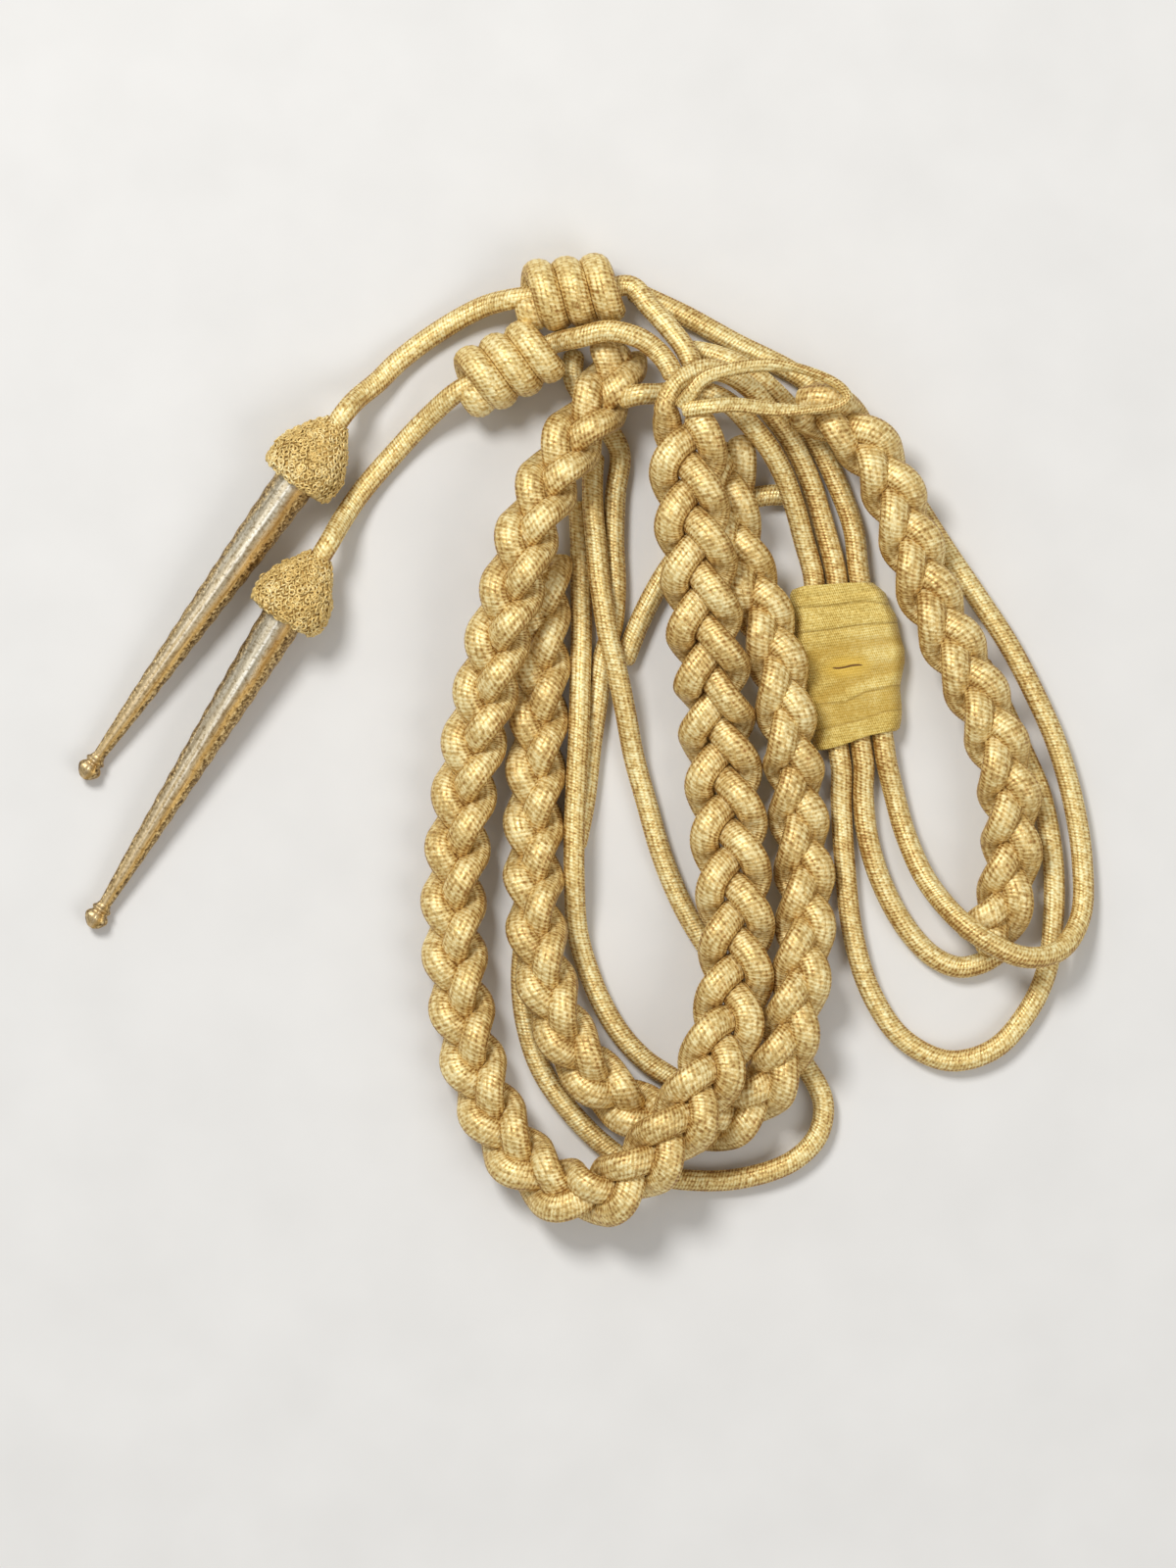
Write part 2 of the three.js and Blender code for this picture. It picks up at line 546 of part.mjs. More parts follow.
// The long inner cord runs down from the top, below the middle leg, and back round the bottom.
addCord("inner_cord_long", [
  [1.6, 72, 2.7], [1.1, 65, 4.6], [1.2, 58, 6.4], [1.9, 50, 6.8], [2.6, 42, 7], [3.6, 35, 7.9],
  [5, 26.6, 8.1], [7.1, 18.2, 7.8], [9.2, 8, 6.2], [11.2, -2.6, 3.4],
  [14.2, -13.6, 2.6], [18.2, -27.4, 2.6], [23.4, -39.8, 2.6], [30, -50.8, 2.6],
  [39, -63, 2.6], [47.4, -72.6, 2.6], [54.4, -80.4, 2.6], [57.8, -88, 2.6], [56.4, -96, 2.6],
  [50, -102.4, 2.6], [38, -106.4, 2.6], [26.2, -107, 2.6], [14.4, -105, 2.6], [4.8, -99, 2.6],
  [-4.4, -90, 2.6], [-11.4, -80, 2.6], [-15, -69.6, 2.6], [-16.4, -58, 2.6], [-15.6, -47, 2.6],
]);

addCord("inner_cord_left", [
  [-2.4, 60, 2.6], [-1.9, 52, 2.6], [-1.7, 40, 2.6], [-1.6, 28, 3], [-1.9, 16, 6], [-2.2, 4, 7.8],
  [-2.8, -8, 8], [-3.3, -20, 8], [-3.4, -32, 7.8], [-2.6, -45.6, 4], [-0.4, -54, 2.6], [3.2, -63, 2.6],
  [8, -71, 2.6], [14, -77.4, 2.6], [21, -82, 2.6],
]);

addCord("inner_cord_short", [
  [-3.4, 97.2, 2.6], [-3.4, 89.6, 2.6], [2.8, 80.6, 2.6], [7.8, 72, 2.6], [6.8, 62, 2.6], [6.4, 50, 2.6],
  [6.8, 38, 2.6], [6, 29, 2.6], [3.7, 21, 2.6], [2.5, 12, 2.6], [0.8, 0, 2.6], [-0.8, -14, 2.6],
  [-3.2, -26, 2.6],
]);

addCord("under_cord", [
  [8.6, 19.6, 2.6], [10.6, 25, 2.6], [14, 33, 2.6], [19.6, 43, 2.6], [27, 52, 2.6], [35, 58.6, 2.6], [43, 61.2, 2.6],
  [50.6, 61.4, 2.6],
]);

// Hanging loop of narrow flat braid: it leaves the top, turns on edge at its far end and comes back.
const TAPE_POINTS = [
  [25.2, 85.6, 27.4], [28, 88.8, 27.4], [34.8, 91.2, 25.4], [45.6, 92.4, 22.4], [55, 90.6, 21],
  [61.4, 87.4, 20.6], [63.4, 84.6, 20.4], [60.4, 82.4, 20.6], [54, 81.6, 21.2], [45.6, 81.6, 22.8],
  [35.8, 82.6, 26.2], [29.6, 82.2, 28.2],
];
const TAPE_ROLL = [
  { share: 0, roll: 20 },
  { share: 0.25, roll: 30 },
  { share: 0.42, roll: 80 },
  { share: 0.6, roll: 80 },
  { share: 0.78, roll: 20 },
  { share: 1, roll: 5 },
];

function addTapeLoop() {
  const route = routeThrough(TAPE_POINTS);
  const stations = Array.from({ length: TAPE_STEPS + 1 }, (_, i) => i / TAPE_STEPS);
  const curve = new SteppedCurve(stations, (share) => {
    const along = route.getTangentAt(share);
    const level = new THREE.Vector3().crossVectors(along, UP).normalize();
    const roll = THREE.MathUtils.degToRad(readTable(TAPE_ROLL, share, "roll"));
    const top = UP.clone().multiplyScalar(Math.cos(roll)).addScaledVector(level, Math.sin(roll));
    return { point: route.getPointAt(share), top };
  });
  addPiece("tape_loop", sweep(ovalSection(TAPE_THICKNESS, TAPE_WIDTH, STRAND_SIDES), curve, TAPE_STEPS), tapeMaterial);
}

addTapeLoop();

// The origin is the middle of the whole part's box, on the table.
const box = new THREE.Box3().setFromObject(model, true);
const centre = box.getCenter(new THREE.Vector3());
const part = new THREE.Group();
model.position.set(-centre.x, -centre.y, -box.min.z);
part.add(model);

export default part;
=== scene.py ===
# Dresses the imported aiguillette: braided cords, netted caps, engraved tags and the folded tape tab.
import math

import bpy
import numpy as np
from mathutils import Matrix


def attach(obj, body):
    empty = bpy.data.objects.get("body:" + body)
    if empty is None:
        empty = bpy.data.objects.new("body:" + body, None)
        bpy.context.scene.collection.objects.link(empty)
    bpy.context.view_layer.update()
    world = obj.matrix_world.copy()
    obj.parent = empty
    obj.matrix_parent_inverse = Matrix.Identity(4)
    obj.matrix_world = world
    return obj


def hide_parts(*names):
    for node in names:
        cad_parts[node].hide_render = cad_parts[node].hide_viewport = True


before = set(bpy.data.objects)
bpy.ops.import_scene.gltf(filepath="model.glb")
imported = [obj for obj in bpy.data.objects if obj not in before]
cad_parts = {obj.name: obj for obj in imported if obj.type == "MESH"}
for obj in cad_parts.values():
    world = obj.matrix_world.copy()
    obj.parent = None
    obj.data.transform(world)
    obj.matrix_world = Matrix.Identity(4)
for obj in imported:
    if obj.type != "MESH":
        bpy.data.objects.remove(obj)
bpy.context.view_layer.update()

MM = 0.001
MAP_UNIT = 10.0  # mm in one unit of a piece's maps
UP = np.array([0.0, 0.0, 1.0])
LAYOUT_ORIGIN = np.array([-0.564, 1.721, 0.0])  # where the row's origin lies in the layout, in mm

CORD_DIAMETER = 5.2
CORD_SIDES = 24  # points round a cord, two to a rib of stitches; the next two are alike
BAND_SIDES = 30
LOOP_SIDES = 18
RING_STEP = 0.4  # mm between rings along a braided tube, half a stitch
STITCH = 2 * RING_STEP
RIB_RELIEF = 0.09
STITCH_RELIEF = 0.04
END_WIDTH = 0.12  # a tube's width at its rounded ends, as a share of the whole

STRAND_WIDTH = 7.2
STRAND_THICKNESS = 5.3
STRAND_RISE = 3.5
STRAND_DIVE = 0.8
SOLID_STRAND_WIDTH = 5.2
PLAIT_STRANDS = 3
PLAIT_PITCH = 13.2

TAG_LENGTH = 84
TAG_TOP_RADIUS = 5.2
TAG_NECK_RADIUS = 1.45
FINIAL_LENGTH = 6
FINIAL_RADIUS = 2.9
CAP_LENGTH = 17
CAP_RADIUS = 9.8

KNOT_TURNS = 2.5
KNOT_TUCK = 0.64  # the part of a turn that comes out from under the cord before the first band
KNOT_TUCK_DEPTH = 1.0  # how much closer in a whole turn of it would lie
KNOT_DIVE = 4.2  # how much deeper its end goes
KNOT_BAND_WIDTH = 7.3
KNOT_BAND_THICKNESS = 6
KNOT_PITCH = 6.9
KNOT_COIL_RADIUS = 6.1
KNOT_RADIUS = 9.1
KNOT_LENGTH = 23.85

TAB = {"x": 63.6, "y": 19.2, "heading": 98.3}
TAB_LENGTH = 39.5
TAB_CORD_PITCH = 5.6
TAB_MIDDLE = 0.6  # where the middle cord runs, across the tab
TAB_HEIGHT = 7.8
SLIT_HALF = 3.9  # half the slit's length; it lies aslant and sways a little
SLIT_TILT = 0.06
SLIT_SWAY = 0.2
SLIT_BENDS = 0.8
WARP_PITCH = 0.5  # mm from one thread of the tab's tape to the next
WARP_LEAN = 0.28
WEFT_PITCH = 0.66

BLACK = (0, 0, 0)
WHITE = (1, 1, 1)


def to_row(points):
    return (np.asarray(points, float) - LAYOUT_ORIGIN) * MM


# Camera: straight above the table, with a long lens.
VIEW_HEIGHT = 384.0  # mm of the layout from the picture's top to its bottom
VIEW_CENTRE = (0.0, -9.6, 10.0)
VIEW_DISTANCE = 2200.0
SENSOR = 36.0

camera_data = bpy.data.cameras.new("camera")
camera_data.sensor_fit = "VERTICAL"
camera_data.sensor_height = SENSOR
camera_data.lens = SENSOR * VIEW_DISTANCE / VIEW_HEIGHT
camera_data.clip_end = 20
camera = bpy.data.objects.new("camera", camera_data)
camera.location = to_row((VIEW_CENTRE[0], VIEW_CENTRE[1], VIEW_CENTRE[2] + VIEW_DISTANCE))
bpy.context.scene.collection.objects.link(camera)
bpy.context.scene.camera = camera


# Node materials

def new_material(name):
    material = bpy.data.materials.new(name)
    material.use_nodes = True
    tree = material.node_tree
    tree.nodes.clear()
    return material, tree


class Nodes:
    """Short calls for one material's node tree."""

    def __init__(self, tree):
        self.tree = tree

    def add(self, kind, **settings):
        node = self.tree.nodes.new(kind)
        for key, value in settings.items():
            setattr(node, key, value)
        return node

    def feed(self, socket, value):
        if isinstance(value, bpy.types.NodeSocket):
            self.tree.links.new(value, socket)
        else:
            socket.default_value = value

    def math(self, operation, a, b=0.0):
        node = self.add("ShaderNodeMath", operation=operation)
        for socket, value in zip(node.inputs, (a, b)):
            self.feed(socket, value)
        return node.outputs[0]

    def times(self, a, b):
        return self.math("MULTIPLY", a, b)

    def minus(self, a, b):
        return self.math("SUBTRACT", a, b)

    def total(self, first, *others):
        """The sum of all the values."""
        for value in others:
            first = self.math("ADD", first, value)
        return first

    def centred(self, value, gain):
        """A value from 0 to 1 made to swing round 0."""
        return self.times(self.minus(value, 0.5), gain)

    def wave(self, turns):
        """A wave from 0 to 1, with its top at each whole turn."""
        swing = self.math("COSINE", self.times(turns, 2 * math.pi))
        return self.total(self.times(swing, 0.5), 0.5)

    def squared(self, value, width):
        """The square of a map's value over a width in mm."""
        return self.math("POWER", self.times(value, MAP_UNIT / width), 2.0)

    def map_values(self, name):
        """The two values of one of the piece's maps."""
        split = self.add("ShaderNodeSeparateXYZ")
        self.feed(split.inputs[0], self.add("ShaderNodeUVMap", uv_map=name).outputs[0])
        return split.outputs[0], split.outputs[1]

    def object_place(self):
        return self.add("ShaderNodeTexCoord").outputs["Object"]

    def ramp(self, value, stops):
        node = self.add("ShaderNodeValToRGB")
        elements = node.color_ramp.elements
        elements[0].position = stops[0][0]
        elements[1].position = stops[-1][0]
        for position, _ in stops[1:-1]:
            elements.new(position)
        for element, (_, colour) in zip(elements, stops):
            element.color = (*colour, 1)
        self.feed(node.inputs[0], value)
        return node.outputs[0]

    def mix(self, factor, a, b, blend="MIX"):
        node = self.add("ShaderNodeMix", data_type="RGBA", blend_type=blend)
        self.feed(node.inputs["Factor"], factor)
        sockets = [s for s in node.inputs if s.type == "RGBA"]
        for socket, value in zip(sockets, (a, b)):
            self.feed(socket, value if isinstance(value, bpy.types.NodeSocket) else (*value, 1))
        return [s for s in node.outputs if s.type == "RGBA"][0]

    def noise(self, vector, scale, detail=2.0, roughness=0.5):
        node = self.add("ShaderNodeTexNoise")
        self.feed(node.inputs["Vector"], vector)
        node.inputs["Scale"].default_value = scale
        node.inputs["Detail"].default_value = detail
        node.inputs["Roughness"].default_value = roughness
        return node.outputs["Fac"]

    def bump(self, height, distance, strength):
        node = self.add("ShaderNodeBump")
        node.inputs["Strength"].default_value = strength
        node.inputs["Distance"].default_value = distance
        self.feed(node.inputs["Height"], height)
        return node.outputs[0]

    def finish(self, colour, roughness, metallic, normal=None):
        shader = self.add("ShaderNodeBsdfPrincipled")
        output = self.add("ShaderNodeOutputMaterial")
        self.feed(shader.inputs["Base Color"], colour)
        self.feed(shader.inputs["Roughness"], roughness)
        self.feed(shader.inputs["Metallic"], metallic)
        if normal is not None:
            self.feed(shader.inputs["Normal"], normal)
        self.tree.links.new(shader.outputs[0], output.inputs[0])


# How far each thing lightens the gilt of a braid, and how far each darkens it; the glint speckle is painted
# highlight, the flank terms painted shade.
BRAID_GROUND = 0.43
SWELL_GAIN = 0.10
RUNG_GAIN = 0.14
STITCH_GAIN = 0.26
PAINTED_GLINT_GAIN = 1.05
PATINA_GAIN = 0.5
HOLE_LOSS = 0.08
SIDE_HOLE_PAINTED_SHADE = 0.40
PAINTED_FLANK_SHADE = 0.20


def braid_material(name, deep, middle, bright, sides=CORD_SIDES):
    """Gilt thread braided into ribs of stitches, with painted glints and painted shade on its flanks; the map
    holds places along the cord and shares round it.
    """
    material, tree = new_material(name)
    n = Nodes(tree)
    distance, turn = n.map_values("braid")
    along = n.times(distance, MAP_UNIT / STITCH)
    ribs = n.times(turn, sides / 2)
    rib = n.math("FLOOR", ribs)
    across = n.minus(n.math("FRACT", ribs), 0.5)
    slant = n.times(across, 0.5)
    odd = n.times(n.math("MODULO", rib, 2.0), 0.5)
    phase = n.total(along, slant, odd)
    rung = n.wave(phase)
    swell = n.math("COSINE", n.times(across, math.pi))
    hole = n.times(n.minus(1.0, swell), n.minus(1.0, rung))

    cell = n.add("ShaderNodeCombineXYZ")
    n.feed(cell.inputs[0], n.math("FLOOR", phase))
    n.feed(cell.inputs[1], rib)
    noise = n.add("ShaderNodeTexWhiteNoise", noise_dimensions="2D")
    n.feed(noise.inputs["Vector"], cell.outputs[0])
    stitch = noise.outputs["Value"]

    place = n.object_place()
    patina = n.noise(place, 70.0, 3.0)
    # Painted glints: a fine speckle that lightens and darkens the gilt.
    painted_glints = n.noise(place, 1300.0, 2.0)
    # Painted shade: darker down both flanks of the cord, with its stitch holes darker there too.
    beside = n.math("ABSOLUTE", n.math("SINE", n.times(turn, 2 * math.pi)))
    flank_shade_mask = n.math("POWER", beside, 5.0)
    loss = n.total(HOLE_LOSS, n.times(n.math("POWER", beside, 1.5), SIDE_HOLE_PAINTED_SHADE))
    level = n.total(BRAID_GROUND, n.times(swell, SWELL_GAIN), n.times(rung, RUNG_GAIN))
    level = n.minus(level, n.times(hole, loss))
    level = n.minus(level, n.times(flank_shade_mask, PAINTED_FLANK_SHADE))
    level = n.total(level, n.centred(stitch, STITCH_GAIN), n.centred(painted_glints, PAINTED_GLINT_GAIN),
                    n.centred(patina, PATINA_GAIN))
    colour = n.ramp(level, [(0.12, deep), (0.50, middle), (0.86, bright)])
    height = n.total(n.times(swell, 0.5), n.times(rung, 0.3), n.times(stitch, 0.25))
    rough = n.total(0.38, n.times(stitch, 0.22))
    n.finish(colour, rough, 0.35, n.bump(height, 0.00022, 0.8))
    return material


GOLD_DEEP = (0.34, 0.16, 0.028)
GOLD_MIDDLE = (0.75, 0.54, 0.19)
GOLD_BRIGHT = (1.0, 0.92, 0.53)

cord_gold = braid_material("cord_gold", GOLD_DEEP, GOLD_MIDDLE, GOLD_BRIGHT)
# Painted shade: the plaits' gilt is the cords' gilt made a little darker.
shaded_plait_gold = braid_material("shaded_plait_gold", (0.32, 0.15, 0.028), (0.70, 0.49, 0.17), (0.99, 0.87, 0.48))
band_gold = braid_material("band_gold", GOLD_DEEP, GOLD_MIDDLE, (0.97, 0.86, 0.48), sides=BAND_SIDES)
loop_gold = braid_material("loop_gold", GOLD_DEEP, (0.77, 0.57, 0.21), GOLD_BRIGHT, sides=LOOP_SIDES)


def tape_material():
    """Finely ribbed gilt tape with a yellow stain round its slit, and painted shade in its hollows, creases
    and slit.

    One map holds places across and along the tab, the other how far the tape sinks and how creased it is, for
    its painted shade.
    """
    material, tree = new_material("tape_gold")
    n = Nodes(tree)
    across, along = n.map_values("tape")
    lean = n.times(along, WARP_LEAN)
    rib = n.wave(n.times(n.total(across, lean), MAP_UNIT / WARP_PITCH))
    row = n.wave(n.times(along, MAP_UNIT / WEFT_PITCH))
    weave = n.total(n.times(rib, 0.6), n.times(row, 0.4))
    place = n.object_place()
    stain = n.noise(place, 85.0, 3.0)
    speck = n.noise(place, 1700.0, 2.0)
    level = n.total(n.times(weave, 0.42), n.centred(stain, 0.9), n.centred(speck, 0.9), 0.30)
    colour = n.ramp(level, [(0.15, (0.44, 0.28, 0.045)), (0.5, (0.78, 0.58, 0.15)), (0.85, (1, 0.88, 0.4))])

    # Painted shade: darker where the top sinks, and darker still along the folds' creases.
    depth, crease = n.map_values("sunk")
    shade = n.times(n.minus(depth, 0.2), 0.7)
    shade = n.math("MINIMUM", n.math("MAXIMUM", shade, 0.0), 0.6)
    colour = n.mix(shade, colour, (0.50, 0.30, 0.03))
    colour = n.mix(n.times(crease, 0.55), colour, (0.30, 0.18, 0.03))

    from_slit = n.total(n.squared(across, 7.5), n.squared(along, 3.6))
    yellow = n.ramp(from_slit, [(0.0, WHITE), (0.9, BLACK)])
    colour = n.mix(n.times(yellow, 0.6), colour, (0.86, 0.58, 0.09))

    # Painted shade: a dark line down the slit.
    bends = n.math("SINE", n.times(across, SLIT_BENDS * MAP_UNIT))
    aslant = n.total(along, n.times(across, SLIT_TILT))
    off_line = n.minus(aslant, n.times(bends, SLIT_SWAY / MAP_UNIT))
    past_end = n.math("POWER", n.times(across, MAP_UNIT / SLIT_HALF), 8.0)
    beside = n.total(n.squared(off_line, 0.3), past_end)
    slit = n.ramp(beside, [(0.35, WHITE), (1.0, BLACK)])
    colour = n.mix(slit, colour, (0.16, 0.07, 0.01))
    n.finish(colour, 0.55, 0.2, n.bump(weave, 0.00018, 0.9))
    return material


def net_material():
    """Crocheted gilt thread over the caps."""
    material, tree = new_material("net_gold")
    n = Nodes(tree)
    place = n.object_place()
    speck = n.noise(place, 1500.0, 2.0)
    stain = n.noise(place, 160.0, 2.0)
    level = n.total(n.times(speck, 0.6), n.times(stain, 0.4))
    colour = n.ramp(level, [(0.3, (0.50, 0.32, 0.09)), (0.5, (0.80, 0.58, 0.21)), (0.68, (1.0, 0.86, 0.48))])
    n.finish(colour, 0.45, 0.3, n.bump(speck, 0.0002, 0.6))
    return material


def core_material():
    """The golden padding that shows through the net."""
    material, tree = new_material("net_core")
    n = Nodes(tree)
    speck = n.noise(n.object_place(), 1100.0, 3.0)
    colour = n.ramp(speck, [(0.35, (0.46, 0.28, 0.07)), (0.5, (0.72, 0.49, 0.15)), (0.65, (0.92, 0.7, 0.28))])
    n.finish(colour, 0.75, 0.1, n.bump(speck, 0.0004, 0.8))
    return material


def tag_material():
    """Silvered gilt brass: long polished streaks and a thin painted highlight on top, worn and mottled gilt
    engraving down the sides.

    The map holds heights along the tag and shares round it, with 0.5 at its top.
    """
    material, tree = new_material("tag_metal")
    n = Nodes(tree)
    height, share = n.map_values("turn")
    turn = n.minus(share, 0.5)
    place = n.object_place()
    grain = n.noise(place, 1300.0, 3.0, 0.6)
    blotch = n.noise(place, 70.0, 3.0)
    stretched = n.add("ShaderNodeCombineXYZ")
    n.feed(stretched.inputs[0], n.times(height, 0.5))
    n.feed(stretched.inputs[1], n.times(turn, 26.0))
    streak = n.noise(stretched.outputs[0], 1.0, 3.0)
    wander = n.total(n.centred(blotch, 0.10), n.centred(grain, 0.06))
    place_round = n.total(turn, wander, 0.5)

    silver = n.ramp(streak, [(0.3, (0.33, 0.27, 0.17)), (0.5, (0.52, 0.46, 0.34)), (0.68, (0.8, 0.75, 0.62))])
    # Painted highlight: a thin bright line along the tag's top.
    off_glint = n.math("ABSOLUTE", n.minus(turn, 0.01))
    glint = n.ramp(off_glint, [(0.0, (0.7, 0.7, 0.7)), (0.014, BLACK)])
    silver = n.mix(glint, silver, (0.98, 0.95, 0.86))
    toward_finial = n.times(height, -MAP_UNIT / TAG_LENGTH)
    gilding = n.ramp(toward_finial, [(0.2, BLACK), (0.95, (0.7, 0.7, 0.7))])
    silver = n.mix(gilding, silver, (0.66, 0.46, 0.19))
    bronze = n.ramp(streak, [(0.35, (0.34, 0.19, 0.05)), (0.6, (0.66, 0.43, 0.15))])
    polished = n.mix(n.ramp(place_round, [(0.43, WHITE), (0.50, BLACK)]), silver, bronze)

    engraved = n.ramp(grain, [(0.36, (0.1, 0.055, 0.02)), (0.5, (0.36, 0.23, 0.08)),
                              (0.64, (0.78, 0.6, 0.3))])
    side = n.ramp(place_round, [(0.24, BLACK), (0.30, WHITE), (0.385, WHITE), (0.42, BLACK),
                                (0.61, BLACK), (0.65, WHITE), (0.72, WHITE), (0.78, BLACK)])
    worn = n.ramp(grain, [(0.34, (0.62, 0.56, 0.46)), (0.50, WHITE)])
    colour = n.mix(side, n.mix(1.0, polished, worn, blend="MULTIPLY"), engraved)
    rough = n.total(0.30, n.times(grain, 0.30))
    relief = n.times(grain, n.total(side, 0.2))
    n.finish(colour, rough, 0.85, n.bump(relief, 0.0004, 0.8))
    return material


tape_gold = tape_material()
net_gold = net_material()
net_core = core_material()
tag_metal = tag_material()


# Curves and tubes, in the layout's millimetres

def lengths_along(points):
    """The distance along a line at each of its points."""
    return np.concatenate([[0], np.cumsum(np.linalg.norm(np.diff(points, axis=0), axis=1))])


def between(stations, distances, values):
    """Rows of three values, read at stations between the distances that they are known at."""
    return np.stack([np.interp(stations, distances, values[:, k]) for k in range(3)], axis=-1)


def quarter_round(part):
    """The height of a quarter circle at a part of its width, and 1 beyond it."""
    return np.sqrt(1 - (1 - np.clip(part, 0, 1)) ** 2)


class Route:
    """A centripetal Catmull-Rom curve through given points, read by distance along it."""

    def __init__(self, points):
        p = np.array(points, float)
        ends = np.vstack([2 * p[0] - p[1], p, 2 * p[-1] - p[-2]])
        t = np.linspace(0, 1, 60, endpoint=False)[:, None]
        dense = []
        for p0, p1, p2, p3 in zip(ends, ends[1:], ends[2:], ends[3:]):
            d0, d1, d2 = (math.sqrt(np.linalg.norm(b - a)) for a, b in ((p0, p1), (p1, p2), (p2, p3)))
            t1 = ((p1 - p0) / d0 - (p2 - p0) / (d0 + d1) + (p2 - p1) / d1) * d1
            t2 = ((p2 - p1) / d1 - (p3 - p1) / (d1 + d2) + (p3 - p2) / d2) * d1
            bend = -3 * p1 + 3 * p2 - 2 * t1 - t2
            dense.append(p1 + t1 * t + bend * t**2 + (2 * p1 - 2 * p2 + t1 + t2) * t**3)
        self.points = np.vstack(dense + [p[-1:]])
        self.distances = lengths_along(self.points)
        self.length = self.distances[-1]

    def at(self, distance):
        return between(distance, self.distances, self.points)

    def tangent(self, distance):
        reach = 0.5
        ahead = self.at(np.minimum(distance + reach, self.length))
        behind = self.at(np.maximum(distance - reach, 0))
        return unit(ahead - behind)


def unit(vectors):
    return vectors / np.linalg.norm(vectors, axis=-1, keepdims=True)


def smooth(values, rounds):
    """Evens out a line of points; its ends stay."""
    out = values.copy()
    for _ in range(rounds):
        out[1:-1] = (out[:-2] + 2 * out[1:-1] + out[2:]) / 4
    return out


def carried_tops(points):
    """A top direction for each point of a round cord, carried along it without twisting."""
    tangents = unit(np.gradient(points, axis=0))
    top = np.cross(np.cross(tangents[0], UP), tangents[0])
    tops = []
    for tangent in tangents:
        top = top - tangent * np.dot(top, tangent)
        top = top / np.linalg.norm(top)
        tops.append(top)
    return np.array(tops)


def mesh_object(name, vertices, faces, material, uv=None, uv_name="braid"):
    mesh = bpy.data.meshes.new(name)
    rows = faces.tolist() if isinstance(faces, np.ndarray) else faces
    mesh.from_pydata(vertices.tolist(), [], rows)
    if uv is not None:
        layer = mesh.uv_layers.new(name=uv_name)
        layer.data.foreach_set("uv", np.asarray(uv, np.float32).ravel())
    mesh.validate()
    mesh.polygons.foreach_set("use_smooth", [True] * len(mesh.polygons))
    mesh.materials.append(material)
    mesh.update()
    piece = bpy.data.objects.new(name, mesh)
    bpy.context.scene.collection.objects.link(piece)
    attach(piece, "root")
    return piece


def ring_grid(rings, around, closed=False):
    """The faces of a tube of rings, and each corner's ring and place round it, for its map."""
    i, j = np.meshgrid(np.arange(rings if closed else rings - 1), np.arange(around), indexing="ij")
    i, j = i.ravel(), j.ravel()
    ahead = (i + 1) % rings
    nxt = (j + 1) % around
    faces = np.stack([i * around + j, i * around + nxt, ahead * around + nxt, ahead * around + j], axis=1)
    corner_rings = np.stack([i, i, i + 1, i + 1], axis=1)
    corner_places = np.stack([j, j + 1, j + 1, j], axis=1)
    return faces, corner_rings, corner_places


def braided_tube(name, points, tops, width, thickness, material, sides=CORD_SIDES, rounding=2.0):
    """A tube along points that lie RING_STEP apart, with the braid's ribs and stitches in its surface.

    Both its ends are rounded off, over as many mm as rounding says.
    """
    count = len(points)
    tangents = unit(np.gradient(points, axis=0))
    tops = unit(tops - tangents * np.sum(tops * tangents, axis=1, keepdims=True))
    across = np.cross(tangents, tops)
    distance = lengths_along(points)
    from_end = np.minimum(distance, distance[-1] - distance)
    closing = np.maximum(quarter_round(from_end / rounding), END_WIDTH)
    place = np.arange(sides)
    share = place / sides
    angle = 2 * math.pi * share
    swell = RIB_RELIEF * (place % 2 - 0.5)
    stitch = STITCH_RELIEF * (1 - 2 * ((np.arange(count)[:, None] + place[None, :] // 2) % 2))
    height = swell[None, :] + stitch
    radius_top = (thickness / 2 + height) * closing[:, None] * np.cos(angle)[None, :]
    half_width = np.broadcast_to(width, count)[:, None] / 2
    radius_side = (half_width + height) * closing[:, None] * np.sin(angle)[None, :]
    vertices = points[:, None, :] + radius_top[..., None] * tops[:, None, :]
    vertices = vertices + radius_side[..., None] * across[:, None, :]
    faces, corner_rings, corner_places = ring_grid(count, sides)
    uv = np.stack([corner_rings * RING_STEP / MAP_UNIT, corner_places / sides], axis=-1).reshape(-1, 2)
    all_faces = faces.tolist()
    all_faces.append(list(range(sides))[::-1])
    all_faces.append(list(range((count - 1) * sides, count * sides)))
    first = np.stack([np.zeros(sides), share[::-1]], axis=1)
    last = np.stack([np.full(sides, count * RING_STEP / MAP_UNIT), share], axis=1)
    uv = np.vstack([uv, first, last])
    return mesh_object(name, to_row(vertices.reshape(-1, 3)), all_faces, material, uv=uv)


# Tags and knots: where they lie

TAGS = {"a": {"x": -71.6, "y": 64.6, "heading": 54.2}, "b": {"x": -74.7, "y": 31.3, "heading": 58}}
KNOTS = {"a": {"x": -3.2, "y": 110.9, "heading": 6}, "b": {"x": -18.9, "y": 93.1, "heading": 26.5}}
OFF_TABLE = 0.05  # mm that pieces keep clear of the table
tag_rise = math.asin((CAP_RADIUS - FINIAL_RADIUS) / (TAG_LENGTH + FINIAL_LENGTH / 2 + CAP_LENGTH * 0.3))


def way(piece):
    """The level direction in which a tag, a knot or the tab lies."""
    heading = math.radians(piece["heading"])
    return np.array([math.cos(heading), math.sin(heading), 0])


def tag_point(tag, distance):
    height = CAP_RADIUS * math.cos(tag_rise) + OFF_TABLE + math.sin(tag_rise) * (distance - CAP_LENGTH * 0.3)
    return np.array([tag["x"], tag["y"], height]) + way(tag) * math.cos(tag_rise) * distance


def tag_axes(tag):
    """The tag's right, its own axis towards the cap, and its top."""
    axis = way(tag) * math.cos(tag_rise) + UP * math.sin(tag_rise)
    right = unit(np.cross(axis, UP))
    return right, axis, np.cross(right, axis)


